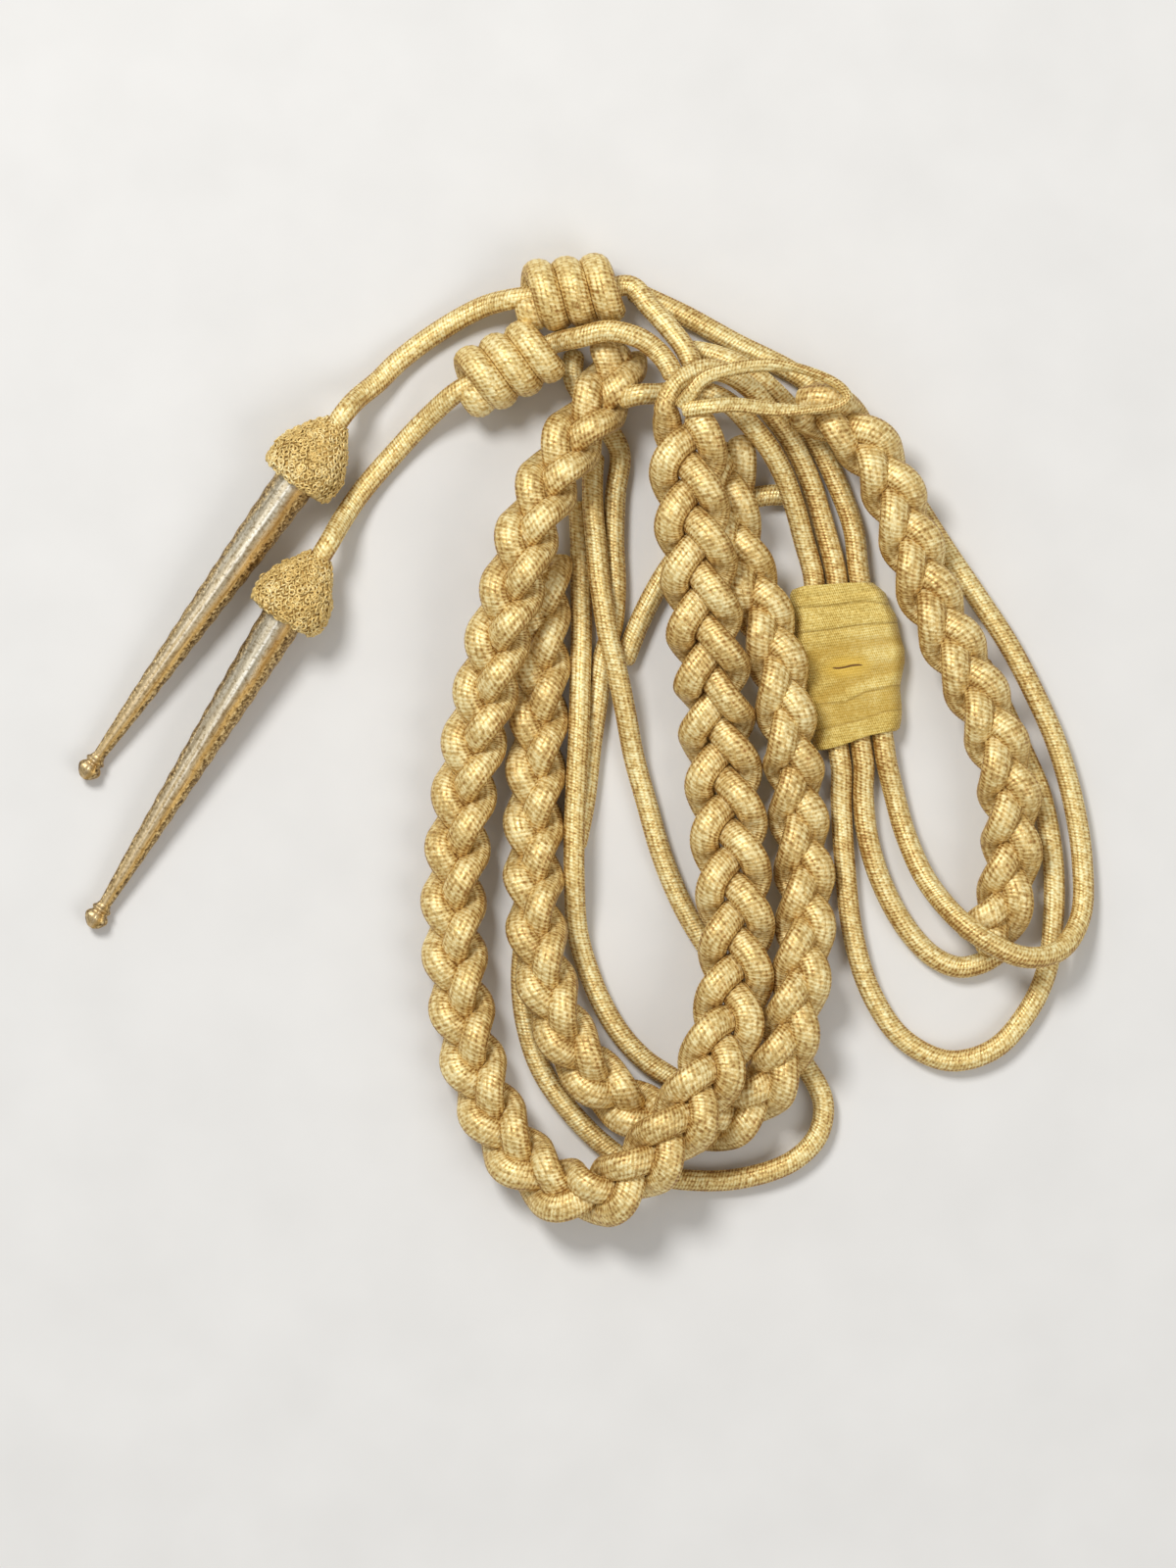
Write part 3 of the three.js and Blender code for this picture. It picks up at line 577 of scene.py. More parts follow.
def knot_point(knot, distance):
    return np.array([knot["x"], knot["y"], KNOT_RADIUS + OFF_TABLE]) + way(knot) * distance


def tab_point(slot, share):
    """A point of a cord inside the tab; slot is -1, 0 or 1 and share runs up the tab's length."""
    along = way(TAB)
    across = np.cross(along, UP)
    point = np.array([TAB["x"], TAB["y"], TAB_HEIGHT / 2])
    return point + along * share * TAB_LENGTH + across * (TAB_MIDDLE + slot * TAB_CORD_PITCH)


TAG_FLOOR = 9.0  # where the tag cords begin inside the caps


def out_of_cap(key):
    """A tag cord's points from inside its cap to just past it."""
    return [tag_point(TAGS[key], distance) for distance in (TAG_FLOOR, CAP_LENGTH, CAP_LENGTH + 4)]


def through_knot(key, far_share):
    """A tag cord's points through its knot, at shares of the knot's length from its middle."""
    return [knot_point(KNOTS[key], KNOT_LENGTH * share) for share in (-0.6, -0.3, 0.3, far_share)]


def through_tab(slot):
    """A cord's points down through the tab."""
    return [tab_point(slot, share) for share in (0.62, 0.5, -0.5, -0.62)]


# Plain cords: their routes through points of the layout; a point without a height is at CORD_LIE

CORD_LIE = 2.6  # the middle of a cord that lies on the table
cord_points = {
    "tag_cord_a": [
        *out_of_cap("a"), [-56.5, 85, 6.6], [-51.8, 89, 4], [-46, 94.7, 2.8], [-36, 102, 2.8],
        [-25.5, 107.6, 5], *through_knot("a", 0.58), [15, 107.4, 10.4], [19.8, 102, 12.6],
        [23.6, 97, 14.4], [26, 92, 15.3],
    ],
    "tag_cord_b": [
        *out_of_cap("b"), [-59.5, 56.5, 5.4], [-54.6, 63.5, 3], [-47.3, 71.9], [-40, 79.6, 4.4],
        *through_knot("b", 0.5), [-1.6, 99.7, 14.8], [5, 101.1, 16.8], [12.2, 99.4, 16.8],
        [16.4, 96.6, 15.8], [19.2, 93.4, 16.2], [20.4, 91.3, 16.5],
    ],
    "outer_loop": [
        [9.8, 112], [16.4, 109], [24, 105.4], [36, 98.8], [50.6, 91.4],
        [60, 84.4], [67.6, 77], [74.4, 69], [80.5, 59.5], [87.4, 48.6],
        [95.4, 36.8], [103.4, 24.6], [109.8, 12.4], [115, 0.6], [119, -13],
        [121.4, -28.1], [121, -42, 4], [115.4, -50.4, 10], [106, -51.8, 15.2], [94, -45.6, 15.6],
        [83.5, -34, 7.4], [78, -22, 3.2], [75.2, -12, 2.8], *through_tab(1)[::-1],
        [65.2, 53, 3.2], [60.8, 65, 3], [55.4, 75.4, 3.6],
        [48.6, 83.6, 5.8], [41.8, 89.8, 9.4], [36.8, 93, 10.4], [32.4, 95, 9.6], [28, 96.2, 7.6],
        [24.4, 96.8, 6],
    ],
    "middle_loop": [
        [18.7, 82.2, 23.4], [19.7, 85, 23.2], [21.8, 87.8, 22.4], [24.8, 90.1, 21.2], [28.4, 91.4, 20],
        [33.5, 90.8, 18.2], [39.5, 87.2, 15],
        [44.6, 81.4, 11], [49.6, 74.6, 7.4], [54.2, 65.6, 4.6], [57.6, 55, 3.6], *through_tab(0),
        [67.6, -12], [68.6, -22],
        [71.8, -33], [77.8, -44.4], [84.8, -52], [91, -54.6], [96.6, -53.6],
    ],
    "lower_loop": [
        [12.8, 85.6, 15.4], [17, 85.8, 13.8], [22, 86.3, 13.2], [29.3, 86, 14.4], [35, 83, 15.6],
        [39.4, 78.4, 15.8], [43.8, 73.2, 14], [47.6, 66.6, 10.6], [50.6, 58.6, 7.9], [53, 50, 5],
        *through_tab(-1), [62.2, -14], [63, -28],
        [65, -46], [69.6, -61], [77.4, -72.2], [88.6, -77.6], [99.6, -74.8],
        [108, -65.6], [112.8, -55], [114.4, -42], [114.2, -28], [111.2, -12],
        [106.6, -1], [101, 11], [96, 21],
    ],
    "inner_cord_long": [
        [1.6, 72, 2.7], [1.1, 65, 4.6], [1.2, 58, 6.4], [1.9, 50, 6.8], [2.6, 42, 7], [3.6, 35, 7.9],
        [5, 26.6, 8.1], [7.1, 18.2, 7.8], [9.2, 8, 6.2], [11.2, -2.6, 3.4], [14.2, -13.6],
        [18.2, -27.4], [23.4, -39.8], [30, -50.8],
        [39, -63], [47.4, -72.6], [54.4, -80.4], [57.8, -88], [56.4, -96],
        [50, -102.4], [38, -106.4], [26.2, -107], [14.4, -105], [4.8, -99],
        [-4.4, -90], [-11.4, -80], [-15, -69.6], [-16.4, -58], [-15.6, -47],
    ],
    "inner_cord_left": [
        [-2.4, 60], [-1.9, 52], [-1.7, 40], [-1.6, 28, 3], [-1.9, 16, 6], [-2.2, 4, 7.8],
        [-2.8, -8, 8], [-3.3, -20, 8], [-3.4, -32, 7.8], [-2.6, -45.6, 4], [-0.4, -54], [3.2, -63],
        [8, -71], [14, -77.4], [21, -82],
    ],
    "inner_cord_short": [
        [-3.4, 97.2], [-3.4, 89.6], [2.8, 80.6], [7.8, 72], [6.8, 62],
        [6.4, 50], [6.8, 38], [6, 29], [3.7, 21], [2.5, 12], [0.8, 0],
        [-0.8, -14], [-3.2, -26],
    ],
    "under_cord": [
        [8.6, 19.6], [10.6, 25], [14, 33], [19.6, 43], [27, 52],
        [35, 58.6], [43, 61.2], [50.6, 61.4],
    ],
}

# A dressed cord's hidden end runs on under its neighbour, where its solid stops short of it.
cord_leads = {"lower_loop": [[7.5, 84.4, 12.4]]}
cord_tails = {
    "tag_cord_b": [[21.2, 88.8, 17.4]],
    "middle_loop": [[100.4, -51.4, 2.8], [102.6, -49.2, 3.2]],
    "inner_cord_left": [[26.6, -85.4], [31, -88.2]],
}

cord_paths = {}
cords = {}
for cord_name, route_points in cord_points.items():
    route_points = cord_leads.get(cord_name, []) + route_points + cord_tails.get(cord_name, [])
    route = Route([[*point, CORD_LIE][:3] for point in route_points])
    rings = int(route.length / RING_STEP) + 1
    path = smooth(route.at(np.linspace(0, route.length, rings)), 3)
    tops = carried_tops(path)
    piece = braided_tube(cord_name + "_braid", path, tops, CORD_DIAMETER, CORD_DIAMETER, cord_gold)
    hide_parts(cord_name)
    cord_paths[cord_name] = path
    cords[cord_name] = piece


# Plaits

PLAITS = {
    "main_plait": {
        "start_turn": -16,
        "points": [
            [7.8, 97.6, 6.9], [6.8, 93, 7.8], [4.4, 86.4, 10.8], [-1, 78.4, 13.8], [-8.2, 66.7, 16.6],
            [-15, 50.4, 20], [-17.8, 40, 19.8], [-20.6, 31.2, 18.2], [-24.1, 16.8, 14.8], [-27.2, 3.9, 11],
            [-29.8, -8.3, 8.6],
            [-31.7, -22.7, 7.8], [-32.9, -37, 7.8], [-32.8, -50, 7.8], [-31, -64.6, 7.8], [-27.8, -79, 7.8],
            [-22.8, -91.6, 8.4], [-15.4, -102.4, 9.6], [-6.4, -109, 12], [3.6, -109.6, 15.4],
            [13.2, -103, 18.4], [21.6, -93.6, 19.8], [28, -83.4, 19], [32.6, -72.6, 16.8],
            [35.5, -61.7, 13.6], [36.4, -50, 12.6],
            [35.8, -37, 12.4], [34.6, -22.8, 10.6], [33.4, -10, 8.8], [31.9, 2.4, 9.4], [30.3, 16.8, 15.8],
            [28, 32, 19.8], [26.4, 48.2, 22], [24.8, 59.8, 22], [24.4, 70, 21.8], [25, 80.4, 20.4],
        ],
        "share": [0, 0.07, 0.2, 0.4, 0.52, 0.6, 0.7, 0.8, 1],
        "lean": [0, 15, 25, 25, 12, 8, -2, -14, -10],
        "spread": [5.2, 5.4, 5.4, 5.4, 5.8, 6.2, 7, 7.2, 7],
        "tails": {2: cord_points["middle_loop"][:2]},  # this strand goes on as the middle loop
    },
    "inner_plait": {
        "start_turn": 0,
        "points": [
            [-10.8, 46.5, 6.9], [-11.4, 37, 7], [-11.7, 26.4, 7.2], [-11.8, 14.4, 7.4], [-12.4, 1, 7.4],
            [-13.1, -12, 7.4], [-13.4, -28, 8.6], [-12.7, -44.2, 12.4], [-10.6, -56.2, 13],
            [-6.7, -68.4, 12.8], [-0.7, -78.6, 10.4], [6.7, -86, 7.2], [15.6, -91.6, 6.4],
            [26, -94.2, 6.2], [34.8, -91.6, 7],
            [42.4, -85.4, 9.8], [47.6, -77, 12.8], [50.2, -67, 13.4], [52.2, -56.2, 13], [53.2, -44.2, 9.8],
            [53, -31, 7.6], [51.6, -18, 7.4], [50.8, -8.4, 8.4], [49.1, 2.4, 12], [47, 16.8, 12.4],
            [43.2, 31, 11.2], [38.6, 43, 11], [35.2, 54, 11.8], [34, 66, 10], [34.6, 74, 7],
        ],
        "share": [0, 0.08, 0.3, 0.44, 0.54, 0.66, 0.85, 0.92, 1],
        "lean": [4, 18, 20, 6, 6, 20, 14, 0, 0],
        "spread": [4.6, 4.7, 4.7, 4.8, 4.8, 4.7, 4.7, 4.7, 4.7],
    },
    "side_plait": {
        "start_turn": 0,
        "points": [
            [96, -49.5, 6.4], [101.5, -40.5, 7.2], [103.7, -27.6, 8.4], [103, -11.3, 11.6], [98.6, 4.8, 13],
            [91, 21.1, 13], [83.2, 37.4, 12.8], [77.6, 53.8, 12.4], [72.2, 67.2, 13], [66.5, 75, 13.2],
            [58.8, 80.8, 13.2], [52, 84.2, 13.2],
        ],
        "share": [0, 0.3, 0.8, 1],
        "lean": [0, 16, 16, 0],
        "spread": [4.8, 5.1, 5.1, 4.8],
    },
}


def eased(shares, values, share):
    """A column of a table read at shares of the length, eased between its rows."""
    shares = np.array(shares, float)
    values = np.array(values, float)
    row = np.clip(np.searchsorted(shares, share, side="right") - 1, 0, len(shares) - 2)
    part = np.clip((share - shares[row]) / (shares[row + 1] - shares[row]), 0, 1)
    part = part * part * (3 - 2 * part)
    return values[row] + (values[row + 1] - values[row]) * part


FINE_STEP = 0.15


def strand_line(plait, route, phase):
    """The middle line of one strand and the plait's face beside it."""
    distance = np.linspace(0, route.length, int(route.length / FINE_STEP))
    share = distance / route.length
    along = route.tangent(distance)
    level = unit(np.cross(along, UP))
    upright = np.cross(level, along)
    lean = np.radians(eased(plait["share"], plait["lean"], share))[:, None]
    side = level * np.cos(lean) - upright * np.sin(lean)
    face = upright * np.cos(lean) + level * np.sin(lean)
    turn = (2 * math.pi * distance / (PLAIT_STRANDS * PLAIT_PITCH) + phase)[:, None]
    spread = eased(plait["share"], plait["spread"], share)[:, None]
    spread = spread - (STRAND_WIDTH - SOLID_STRAND_WIDTH) / 2
    wave = -np.sin(2 * turn)
    rise = STRAND_RISE * np.sign(wave) * np.abs(wave) ** STRAND_DIVE
    return route.at(distance) + side * spread * np.sin(turn) + face * rise, face


def even_steps(points, others, step):
    """The same line again with points a fixed step apart, and the other values that go with them."""
    distance = lengths_along(points)
    stations = np.linspace(0, distance[-1], int(distance[-1] / step) + 1)
    return between(stations, distance, points), between(stations, distance, others)


TAIL_BEND = 30  # points of a strand's line that bend over to its tail
TAIL_WIDTH = CORD_DIAMETER - 0.4  # what such a strand narrows to, within the cord that it goes on as

for plait_name, plait in PLAITS.items():
    route = Route(plait["points"])
    for i in range(PLAIT_STRANDS):
        phase = i * 2 * math.pi / PLAIT_STRANDS + math.radians(plait["start_turn"])
        line, face = strand_line(plait, route, phase)
        tail = plait.get("tails", {}).get(i)
        if tail:
            bend = Route([line[-TAIL_BEND], line[-1], *tail]).points
            line = np.vstack([line[:-TAIL_BEND], bend])
            face = np.vstack([face[:-TAIL_BEND], np.tile(face[-1], (len(bend), 1))])
        line, face = even_steps(line, face, RING_STEP)
        line = smooth(line, 6)
        to_go = (len(line) - np.arange(len(line))) * RING_STEP
        width = np.interp(to_go, [2, 8], [TAIL_WIDTH, STRAND_WIDTH]) if tail else STRAND_WIDTH
        strand = "%s_strand_%d" % (plait_name, i + 1)
        piece = braided_tube(strand + "_braid", line, face, width, STRAND_THICKNESS, shaded_plait_gold)
        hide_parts(strand)


# Knots: one flattened band wound round each tag cord

knot_pieces = {}
for key, knot in KNOTS.items():
    left = np.cross(UP, way(knot))
    first, last = -KNOT_TUCK * 2 * math.pi, KNOT_TURNS * 2 * math.pi
    turned = np.linspace(first, last, int((last - first) * KNOT_COIL_RADIUS / RING_STEP))
    outward = left * np.cos(turned)[:, None] + UP * np.sin(turned)[:, None]
    tucked = np.clip(-turned / (2 * math.pi), 0, 1)
    along = (turned / (2 * math.pi) - KNOT_TURNS / 2 + 0.3 * tucked) * KNOT_PITCH
    diving = np.clip((tucked[:, None] - 0.44) / 0.2, 0, 1)
    coil_radius = KNOT_COIL_RADIUS - KNOT_TUCK_DEPTH * tucked[:, None] - KNOT_DIVE * diving**2
    line = np.array([knot_point(knot, distance) for distance in along]) + outward * coil_radius
    piece = braided_tube("knot_" + key + "_braid", line, outward, KNOT_BAND_WIDTH, KNOT_BAND_THICKNESS,
                         band_gold, sides=BAND_SIDES)
    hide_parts("knot_" + key)
    knot_pieces[key] = piece


# Tags and caps

def on_ring(tag, heights, radii, angle):
    """Points round the tag's axis, where an angle of 0 is at its underside."""
    right, axis, top = tag_axes(tag)
    middle = tag_point(tag, 0) + axis * np.reshape(heights, (-1, 1))
    return middle - top * (np.cos(angle) * radii)[:, None] + right * (np.sin(angle) * radii)[:, None]


def turned_piece(name, tag, profile, sides, material, relief=None):
    """A turned shape round the tag's axis, from rows of height and radius."""
    angle = 2 * math.pi * np.arange(sides) / sides
    rings = []
    for height, radius in profile:
        radii = np.full(sides, radius)
        if relief is not None:
            radii = radii + relief(height, angle)
        rings.append(on_ring(tag, height, radii, angle))
    rings = np.array(rings)
    faces, corner_rings, corner_places = ring_grid(len(rings), sides)
    heights = np.array([row[0] for row in profile])
    uv = np.stack([heights[corner_rings] / MAP_UNIT, corner_places / sides], axis=-1).reshape(-1, 2)
    all_faces = faces[:, ::-1].tolist()
    uv = uv.reshape(-1, 4, 2)[:, ::-1].reshape(-1, 2)
    all_faces.append(list(range(sides)))
    all_faces.append(list(range((len(rings) - 1) * sides, len(rings) * sides))[::-1])
    ends = np.stack([np.zeros(2 * sides), np.tile(np.arange(sides) / sides, 2)], axis=1)
    uv = np.vstack([uv, ends])
    return mesh_object(name, to_row(rings.reshape(-1, 3)), all_faces, material, uv=uv, uv_name="turn")


def eased_profile(rows, step):
    """A smooth profile through rows of height and radius."""
    route = Route([[height, radius, 0] for height, radius in rows])
    stations = np.linspace(0, route.length, int(route.length / step) + 1)
    return [(float(p[0]), max(float(p[1]), 0.02)) for p in route.at(stations)]


# Heights along the tag from the cap's rim, and radii
TAG_ROWS = [(-TAG_LENGTH, TAG_NECK_RADIUS), (-TAG_LENGTH * 0.8, 2.45), (-TAG_LENGTH * 0.6, 3.25),
            (-TAG_LENGTH * 0.4, 4.0), (-TAG_LENGTH * 0.2, 4.7), (-TAG_LENGTH * 0.07, 5.08),
            (0, TAG_TOP_RADIUS), (4, TAG_TOP_RADIUS)]


def tag_relief(height, angle):
    """Shallow engraved leaves down both sides of the tag, none on its polished top."""
    side = 1 - np.abs(((angle / math.pi) % 2) - 1)
    mask = np.exp(-((side - 0.5) / 0.22) ** 2)
    leaf = np.sin(height * 1.05 + 5 * np.sin(angle)) * 0.10
    return mask * leaf * min(1.0, (height + TAG_LENGTH) / 30)


def finial_relief(height, angle):
    """Eight flutes round the finial."""
    return 0.22 * np.cos(8 * angle) * max(0.0, 1 - abs(height + TAG_LENGTH + FINIAL_LENGTH * 0.5) / 3.2)


FINIAL_ROWS = [(-TAG_LENGTH - FINIAL_LENGTH, 0.3), (-TAG_LENGTH - FINIAL_LENGTH * 0.97, 1.0),
               (-TAG_LENGTH - FINIAL_LENGTH * 0.8, 2.1), (-TAG_LENGTH - FINIAL_LENGTH * 0.55, 2.8),
               (-TAG_LENGTH - FINIAL_LENGTH * 0.38, 2.5), (-TAG_LENGTH - FINIAL_LENGTH * 0.26, 1.9),
               (-TAG_LENGTH - FINIAL_LENGTH * 0.12, 2.45), (-TAG_LENGTH, 1.9), (-TAG_LENGTH + 0.8, 1.6)]

CAP_ROWS = [(0.2, 5.6), (0, 8.1), (0.7, 8.9), (2.2, 9.25), (4, 9.35), (6, 9.15), (8.4, 8.4),
            (11, 7.0), (13.6, 5.3), (15.7, 3.9), (16.9, 3.1)]
CORE_DEPTH = 0.3  # how far the filling lies below the net's middle
NET_ROW = 1.25  # mm from one round of the net to the next
NET_LOOP = 1.9  # mm from one loop to the next along a round
NET_RADIUS = 0.27
NET_SIDES = 4
NET_CURLS = 430  # small round loops that lie on the rounds
LOOP_STEPS = 6
CURL_STEPS = 10


def net_round(tag, height, radius, slope, odd, random):
    """One round of loops over the cap, as a closed line; it sways along the cap and in and out."""
    loops = max(6, int(round(2 * math.pi * radius / NET_LOOP)))
    steps = loops * LOOP_STEPS
    angle = 2 * math.pi * np.arange(steps) / steps
    phase = loops * angle + math.pi * odd
    uneven = sum(random.normal(0, 0.10) * np.sin(k * angle + random.uniform(0, 6.28))
                 for k in (3, 7, 11, 17, 23))
    sway = NET_ROW * 0.66 * np.sin(phase) + uneven
    out = 0.16 * np.cos(2 * phase) + 0.08 * uneven
    heights = height + sway * slope[0]
    radii = radius + sway * slope[1] + out
    sideways = 0.22 * np.sin(2 * phase) / radius
    return on_ring(tag, heights, radii, angle + sideways)


def net_curl(tag, height, radius, slope, random):
    """One small round loop of thread on the cap, as a closed line."""
    right, axis, top = tag_axes(tag)
    turn = random.uniform(0, 2 * math.pi)
    outward = right * math.sin(turn) - top * math.cos(turn)
    around = right * math.cos(turn) + top * math.sin(turn)
    uphill = axis * slope[0] + outward * slope[1]
    normal = outward * slope[0] - axis * slope[1]
    middle = tag_point(tag, 0) + axis * height + outward * radius
    middle = middle + normal * random.uniform(0.1, 0.4)
    size = random.uniform(0.5, 0.85)
    tilts = random.normal(0, 0.22, 2)
    angle = 2 * math.pi * np.arange(CURL_STEPS) / CURL_STEPS
    cosine, sine = np.cos(angle)[:, None], np.sin(angle)[:, None]
    return middle + size * (cosine * (around + normal * tilts[0]) + sine * (uphill + normal * tilts[1]))


def closed_tube(points, radius, sides):
    """Vertices and faces of a thin tube along a closed line."""
    tangents = unit(np.roll(points, -1, axis=0) - np.roll(points, 1, axis=0))
    middle = points.mean(axis=0)
    outward = unit(points - middle)
    tops = unit(outward - tangents * np.sum(outward * tangents, axis=1, keepdims=True))
    across = np.cross(tangents, tops)
    angle = 2 * math.pi * np.arange(sides) / sides
    ring = np.cos(angle)[None, :, None] * tops[:, None, :] + np.sin(angle)[None, :, None] * across[:, None, :]
    vertices = (points[:, None, :] + radius * ring).reshape(-1, 3)
    return vertices, ring_grid(len(points), sides, closed=True)[0]


TAG_SIDES = 48
TAG_STEP = 0.5  # mm from ring to ring, as are the next two
FINIAL_STEP = 0.2
CAP_STEP = 0.3
CORE_SIDES = 56
random = np.random.default_rng(7)

for key, tag in TAGS.items():
    profile = eased_profile(TAG_ROWS, TAG_STEP)
    body = turned_piece("tag_%s_body" % key, tag, profile, TAG_SIDES, tag_metal, tag_relief)
    profile = eased_profile(FINIAL_ROWS, FINIAL_STEP)
    finial = turned_piece("tag_%s_finial" % key, tag, profile, TAG_SIDES, tag_metal, finial_relief)
    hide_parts("tag_" + key)
    profile = eased_profile(CAP_ROWS, CAP_STEP)
    sunk_profile = [(height, max(radius - CORE_DEPTH, 0.5)) for height, radius in profile]
    core = turned_piece("cap_%s_core" % key, tag, sunk_profile, CORE_SIDES, net_core)
    lengths = lengths_along(np.array(profile))
    rounds = int(lengths[-1] / NET_ROW)
    heights, radii = np.array(profile).T

    def on_cap(station):
        """Height, radius and slope at a distance up the cap's profile."""
        stations = [station, min(station + 0.5, lengths[-1])]
        height, height_ahead = np.interp(stations, lengths, heights)
        radius, radius_ahead = np.interp(stations, lengths, radii)
        return height, radius, unit(np.array([height_ahead - height + 1e-6, radius_ahead - radius]))

    lines = [net_round(tag, *on_cap(lengths[-1] * i / rounds), i % 2, random) for i in range(rounds + 1)]
    area = np.cumsum(radii)
    for share in random.uniform(0.02, 0.99, NET_CURLS):
        lines.append(net_curl(tag, *on_cap(np.interp(share, area / area[-1], lengths)), random))
    vertices, faces, start = [], [], 0
    for line in lines:
        v, f = closed_tube(line, NET_RADIUS, NET_SIDES)
        vertices.append(np.maximum(v, [-np.inf, -np.inf, OFF_TABLE]))
        faces.append(f + start)
        start += len(v)
    net = mesh_object("cap_%s_net" % key, to_row(np.vstack(vertices)), np.vstack(faces), net_gold)
    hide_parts("cap_" + key)
    tag["pieces"] = [body, finial, core, net, knot_pieces[key]]


# Each cord's path, and for a tag cord the letter of its tag
for cord_name, piece in cords.items():
    path = cord_paths[cord_name]
    key = cord_name[-1] if cord_name.startswith("tag_cord") else None


# Button tab: a flat sleeve of tape folded in bands, with a pit round its slit

# Rows of the tab's edges, in mm along it from its middle; then its folds, as points across and along.
TAB_EDGES = {
    "along": [-19.6, -19.1, -17.4, -14.8, -12.5, -8.3, -6.4, -3.2, -1.2, 2.6, 6.6, 12.2, 14.6, 18.3, 19.6,
              20.6],
    "left": [-10.2, -10.9, -10.9, -10.7, -10.8, -11.3, -11.6, -12.1, -12.2, -12.0, -11.8, -11.6, -11.5,
             -11.4, -11.3, -10.6],
    "right": [9.6, 10.6, 11.2, 11.8, 12.0, 12.2, 12.6, 13.6, 14.3, 14.7, 14.1, 13.8, 12.8, 12.1, 10.8, 9.4],
}
TAB_TOP_END = [[-11.3, 20.5], [-7.9, 21.1], [-2.2, 20.7], [4.2, 20.2], [9.3, 19.5], [12.1, 18.5]]
TAB_LOW_END = [[-10.9, -19.2], [-8.7, -19.5], [-3.4, -18.8], [2, -17.6], [6.9, -17.3], [10.8, -17.4]]
TAB_FOLDS = [
    {"line": [[-10.7, 16.1], [-3, 15.3], [2.2, 15.3], [6.7, 15.2], [11.4, 13.8]], "step": 0.35},
    {"line": [[-11.1, 10], [-2.2, 9.5], [4, 9.7], [9.1, 9.3], [13.3, 9]], "step": 0.45},
    {"line": [[-11.3, -8.5], [-7.4, -8.1], [-1.9, -8.6], [3.5, -6.8], [10.1, -6.3], [12.2, -6.4]],
     "step": 0.5},
    {"line": [[-10.2, -14.5], [-5, -14], [0.6, -13.5], [7.6, -12.2], [11.8, -12.4]], "step": -0.45},
]
TAB_VALLEYS = [
    {"line": [[-11.2, 3.2], [-5.9, 4.3], [2, 5.1], [8.5, 4.8], [14, 4.6]], "deep": 0.75, "wide": 1.5},
    {"line": [[-12, -10], [-8.7, -8], [-6.1, -6], [0.2, -3.4], [4.2, -2.3], [9.5, -1.8], [14, -1.4]],
     "deep": 1.15, "wide": 1.4},
    {"line": [[-11, -9.9], [-5.2, -11], [-2.9, -11.2], [14, -11]], "deep": 0.25, "wide": 0.5},
    {"line": [[-12, 18.2], [0, 17.9], [12, 17]], "deep": 0.22, "wide": 0.5},
]
TAB_SINK = 0.65  # the most that its top can sink, because the cords hold the tape up
CREASE_DEPTH = 0.32
PIT_DEPTH = 1.2
PIT_LENGTH = 5.5
PIT_WIDTH = 2.6
SLIT_DEPTH = 0.9
LIP_HEIGHT = 0.3
LIP_AWAY = 0.62  # how far the middle of a lip lies from the slit's line
TAB_SHOULDER = 2.2  # the height at which its top's rounding meets the edge
TAB_ROUNDING = 3.4
TAB_UNDERSIDE = 1.4  # the height at which its underside's rounding meets the edge
TAB_UNDER_ROUNDING = 0.8
PASSAGE_MIDDLE = 3.9
PASSAGE_RISE = 2.9
PASSAGE_DROP = 2.7
TAPE_WALL = 0.25


def line_height(line, across):
    return np.interp(across, [p[0] for p in line], [p[1] for p in line])


def tab_top(across, along):
    """Height of the tab's top, from its folds, valleys, pit and slit; then its sinking and creases."""
    height = TAB_HEIGHT + 0.10 * np.cos(2 * math.pi * (across - TAB_MIDDLE) / TAB_CORD_PITCH)
    crease = 0 * across
    for fold in TAB_FOLDS:
        past = along - line_height(fold["line"], across)
        height = height + fold["step"] * (1 / (1 + np.exp(-past / 0.12)) - 0.5)
        height = height - CREASE_DEPTH * np.exp(-((past / 0.28) ** 2))
        crease = np.maximum(crease, np.exp(-((past / 0.2) ** 2)))
    for valley in TAB_VALLEYS:
        past = along - line_height(valley["line"], across)
        height = height - valley["deep"] * np.exp(-((past / valley["wide"]) ** 2))
    height = height - PIT_DEPTH * np.exp(-((across / PIT_LENGTH) ** 2) - (along / PIT_WIDTH) ** 2)
    inside = 1 / (1 + np.exp((np.abs(across) - SLIT_HALF) / 0.25))
    slit_line = along + SLIT_TILT * across - SLIT_SWAY * np.sin(across * SLIT_BENDS)
    height = height - SLIT_DEPTH * inside * np.exp(-((slit_line / 0.26) ** 2))
    height = height + LIP_HEIGHT * inside * np.exp(-(((np.abs(slit_line) - LIP_AWAY) / 0.3) ** 2))
    wrinkle = np.sin(0.9 * across + 1.7 * along) * np.sin(0.35 * across - 0.8 * along + 1.3)
    weave = np.sin(2 * math.pi * (across + WARP_LEAN * along) / WARP_PITCH)
    sunk = TAB_HEIGHT - height
    held = np.where(sunk > 0, TAB_HEIGHT - TAB_SINK * np.tanh(sunk / TAB_SINK), height)
    return held + 0.12 * wrinkle + 0.03 * weave, np.stack([np.maximum(sunk, 0), crease], axis=-1)


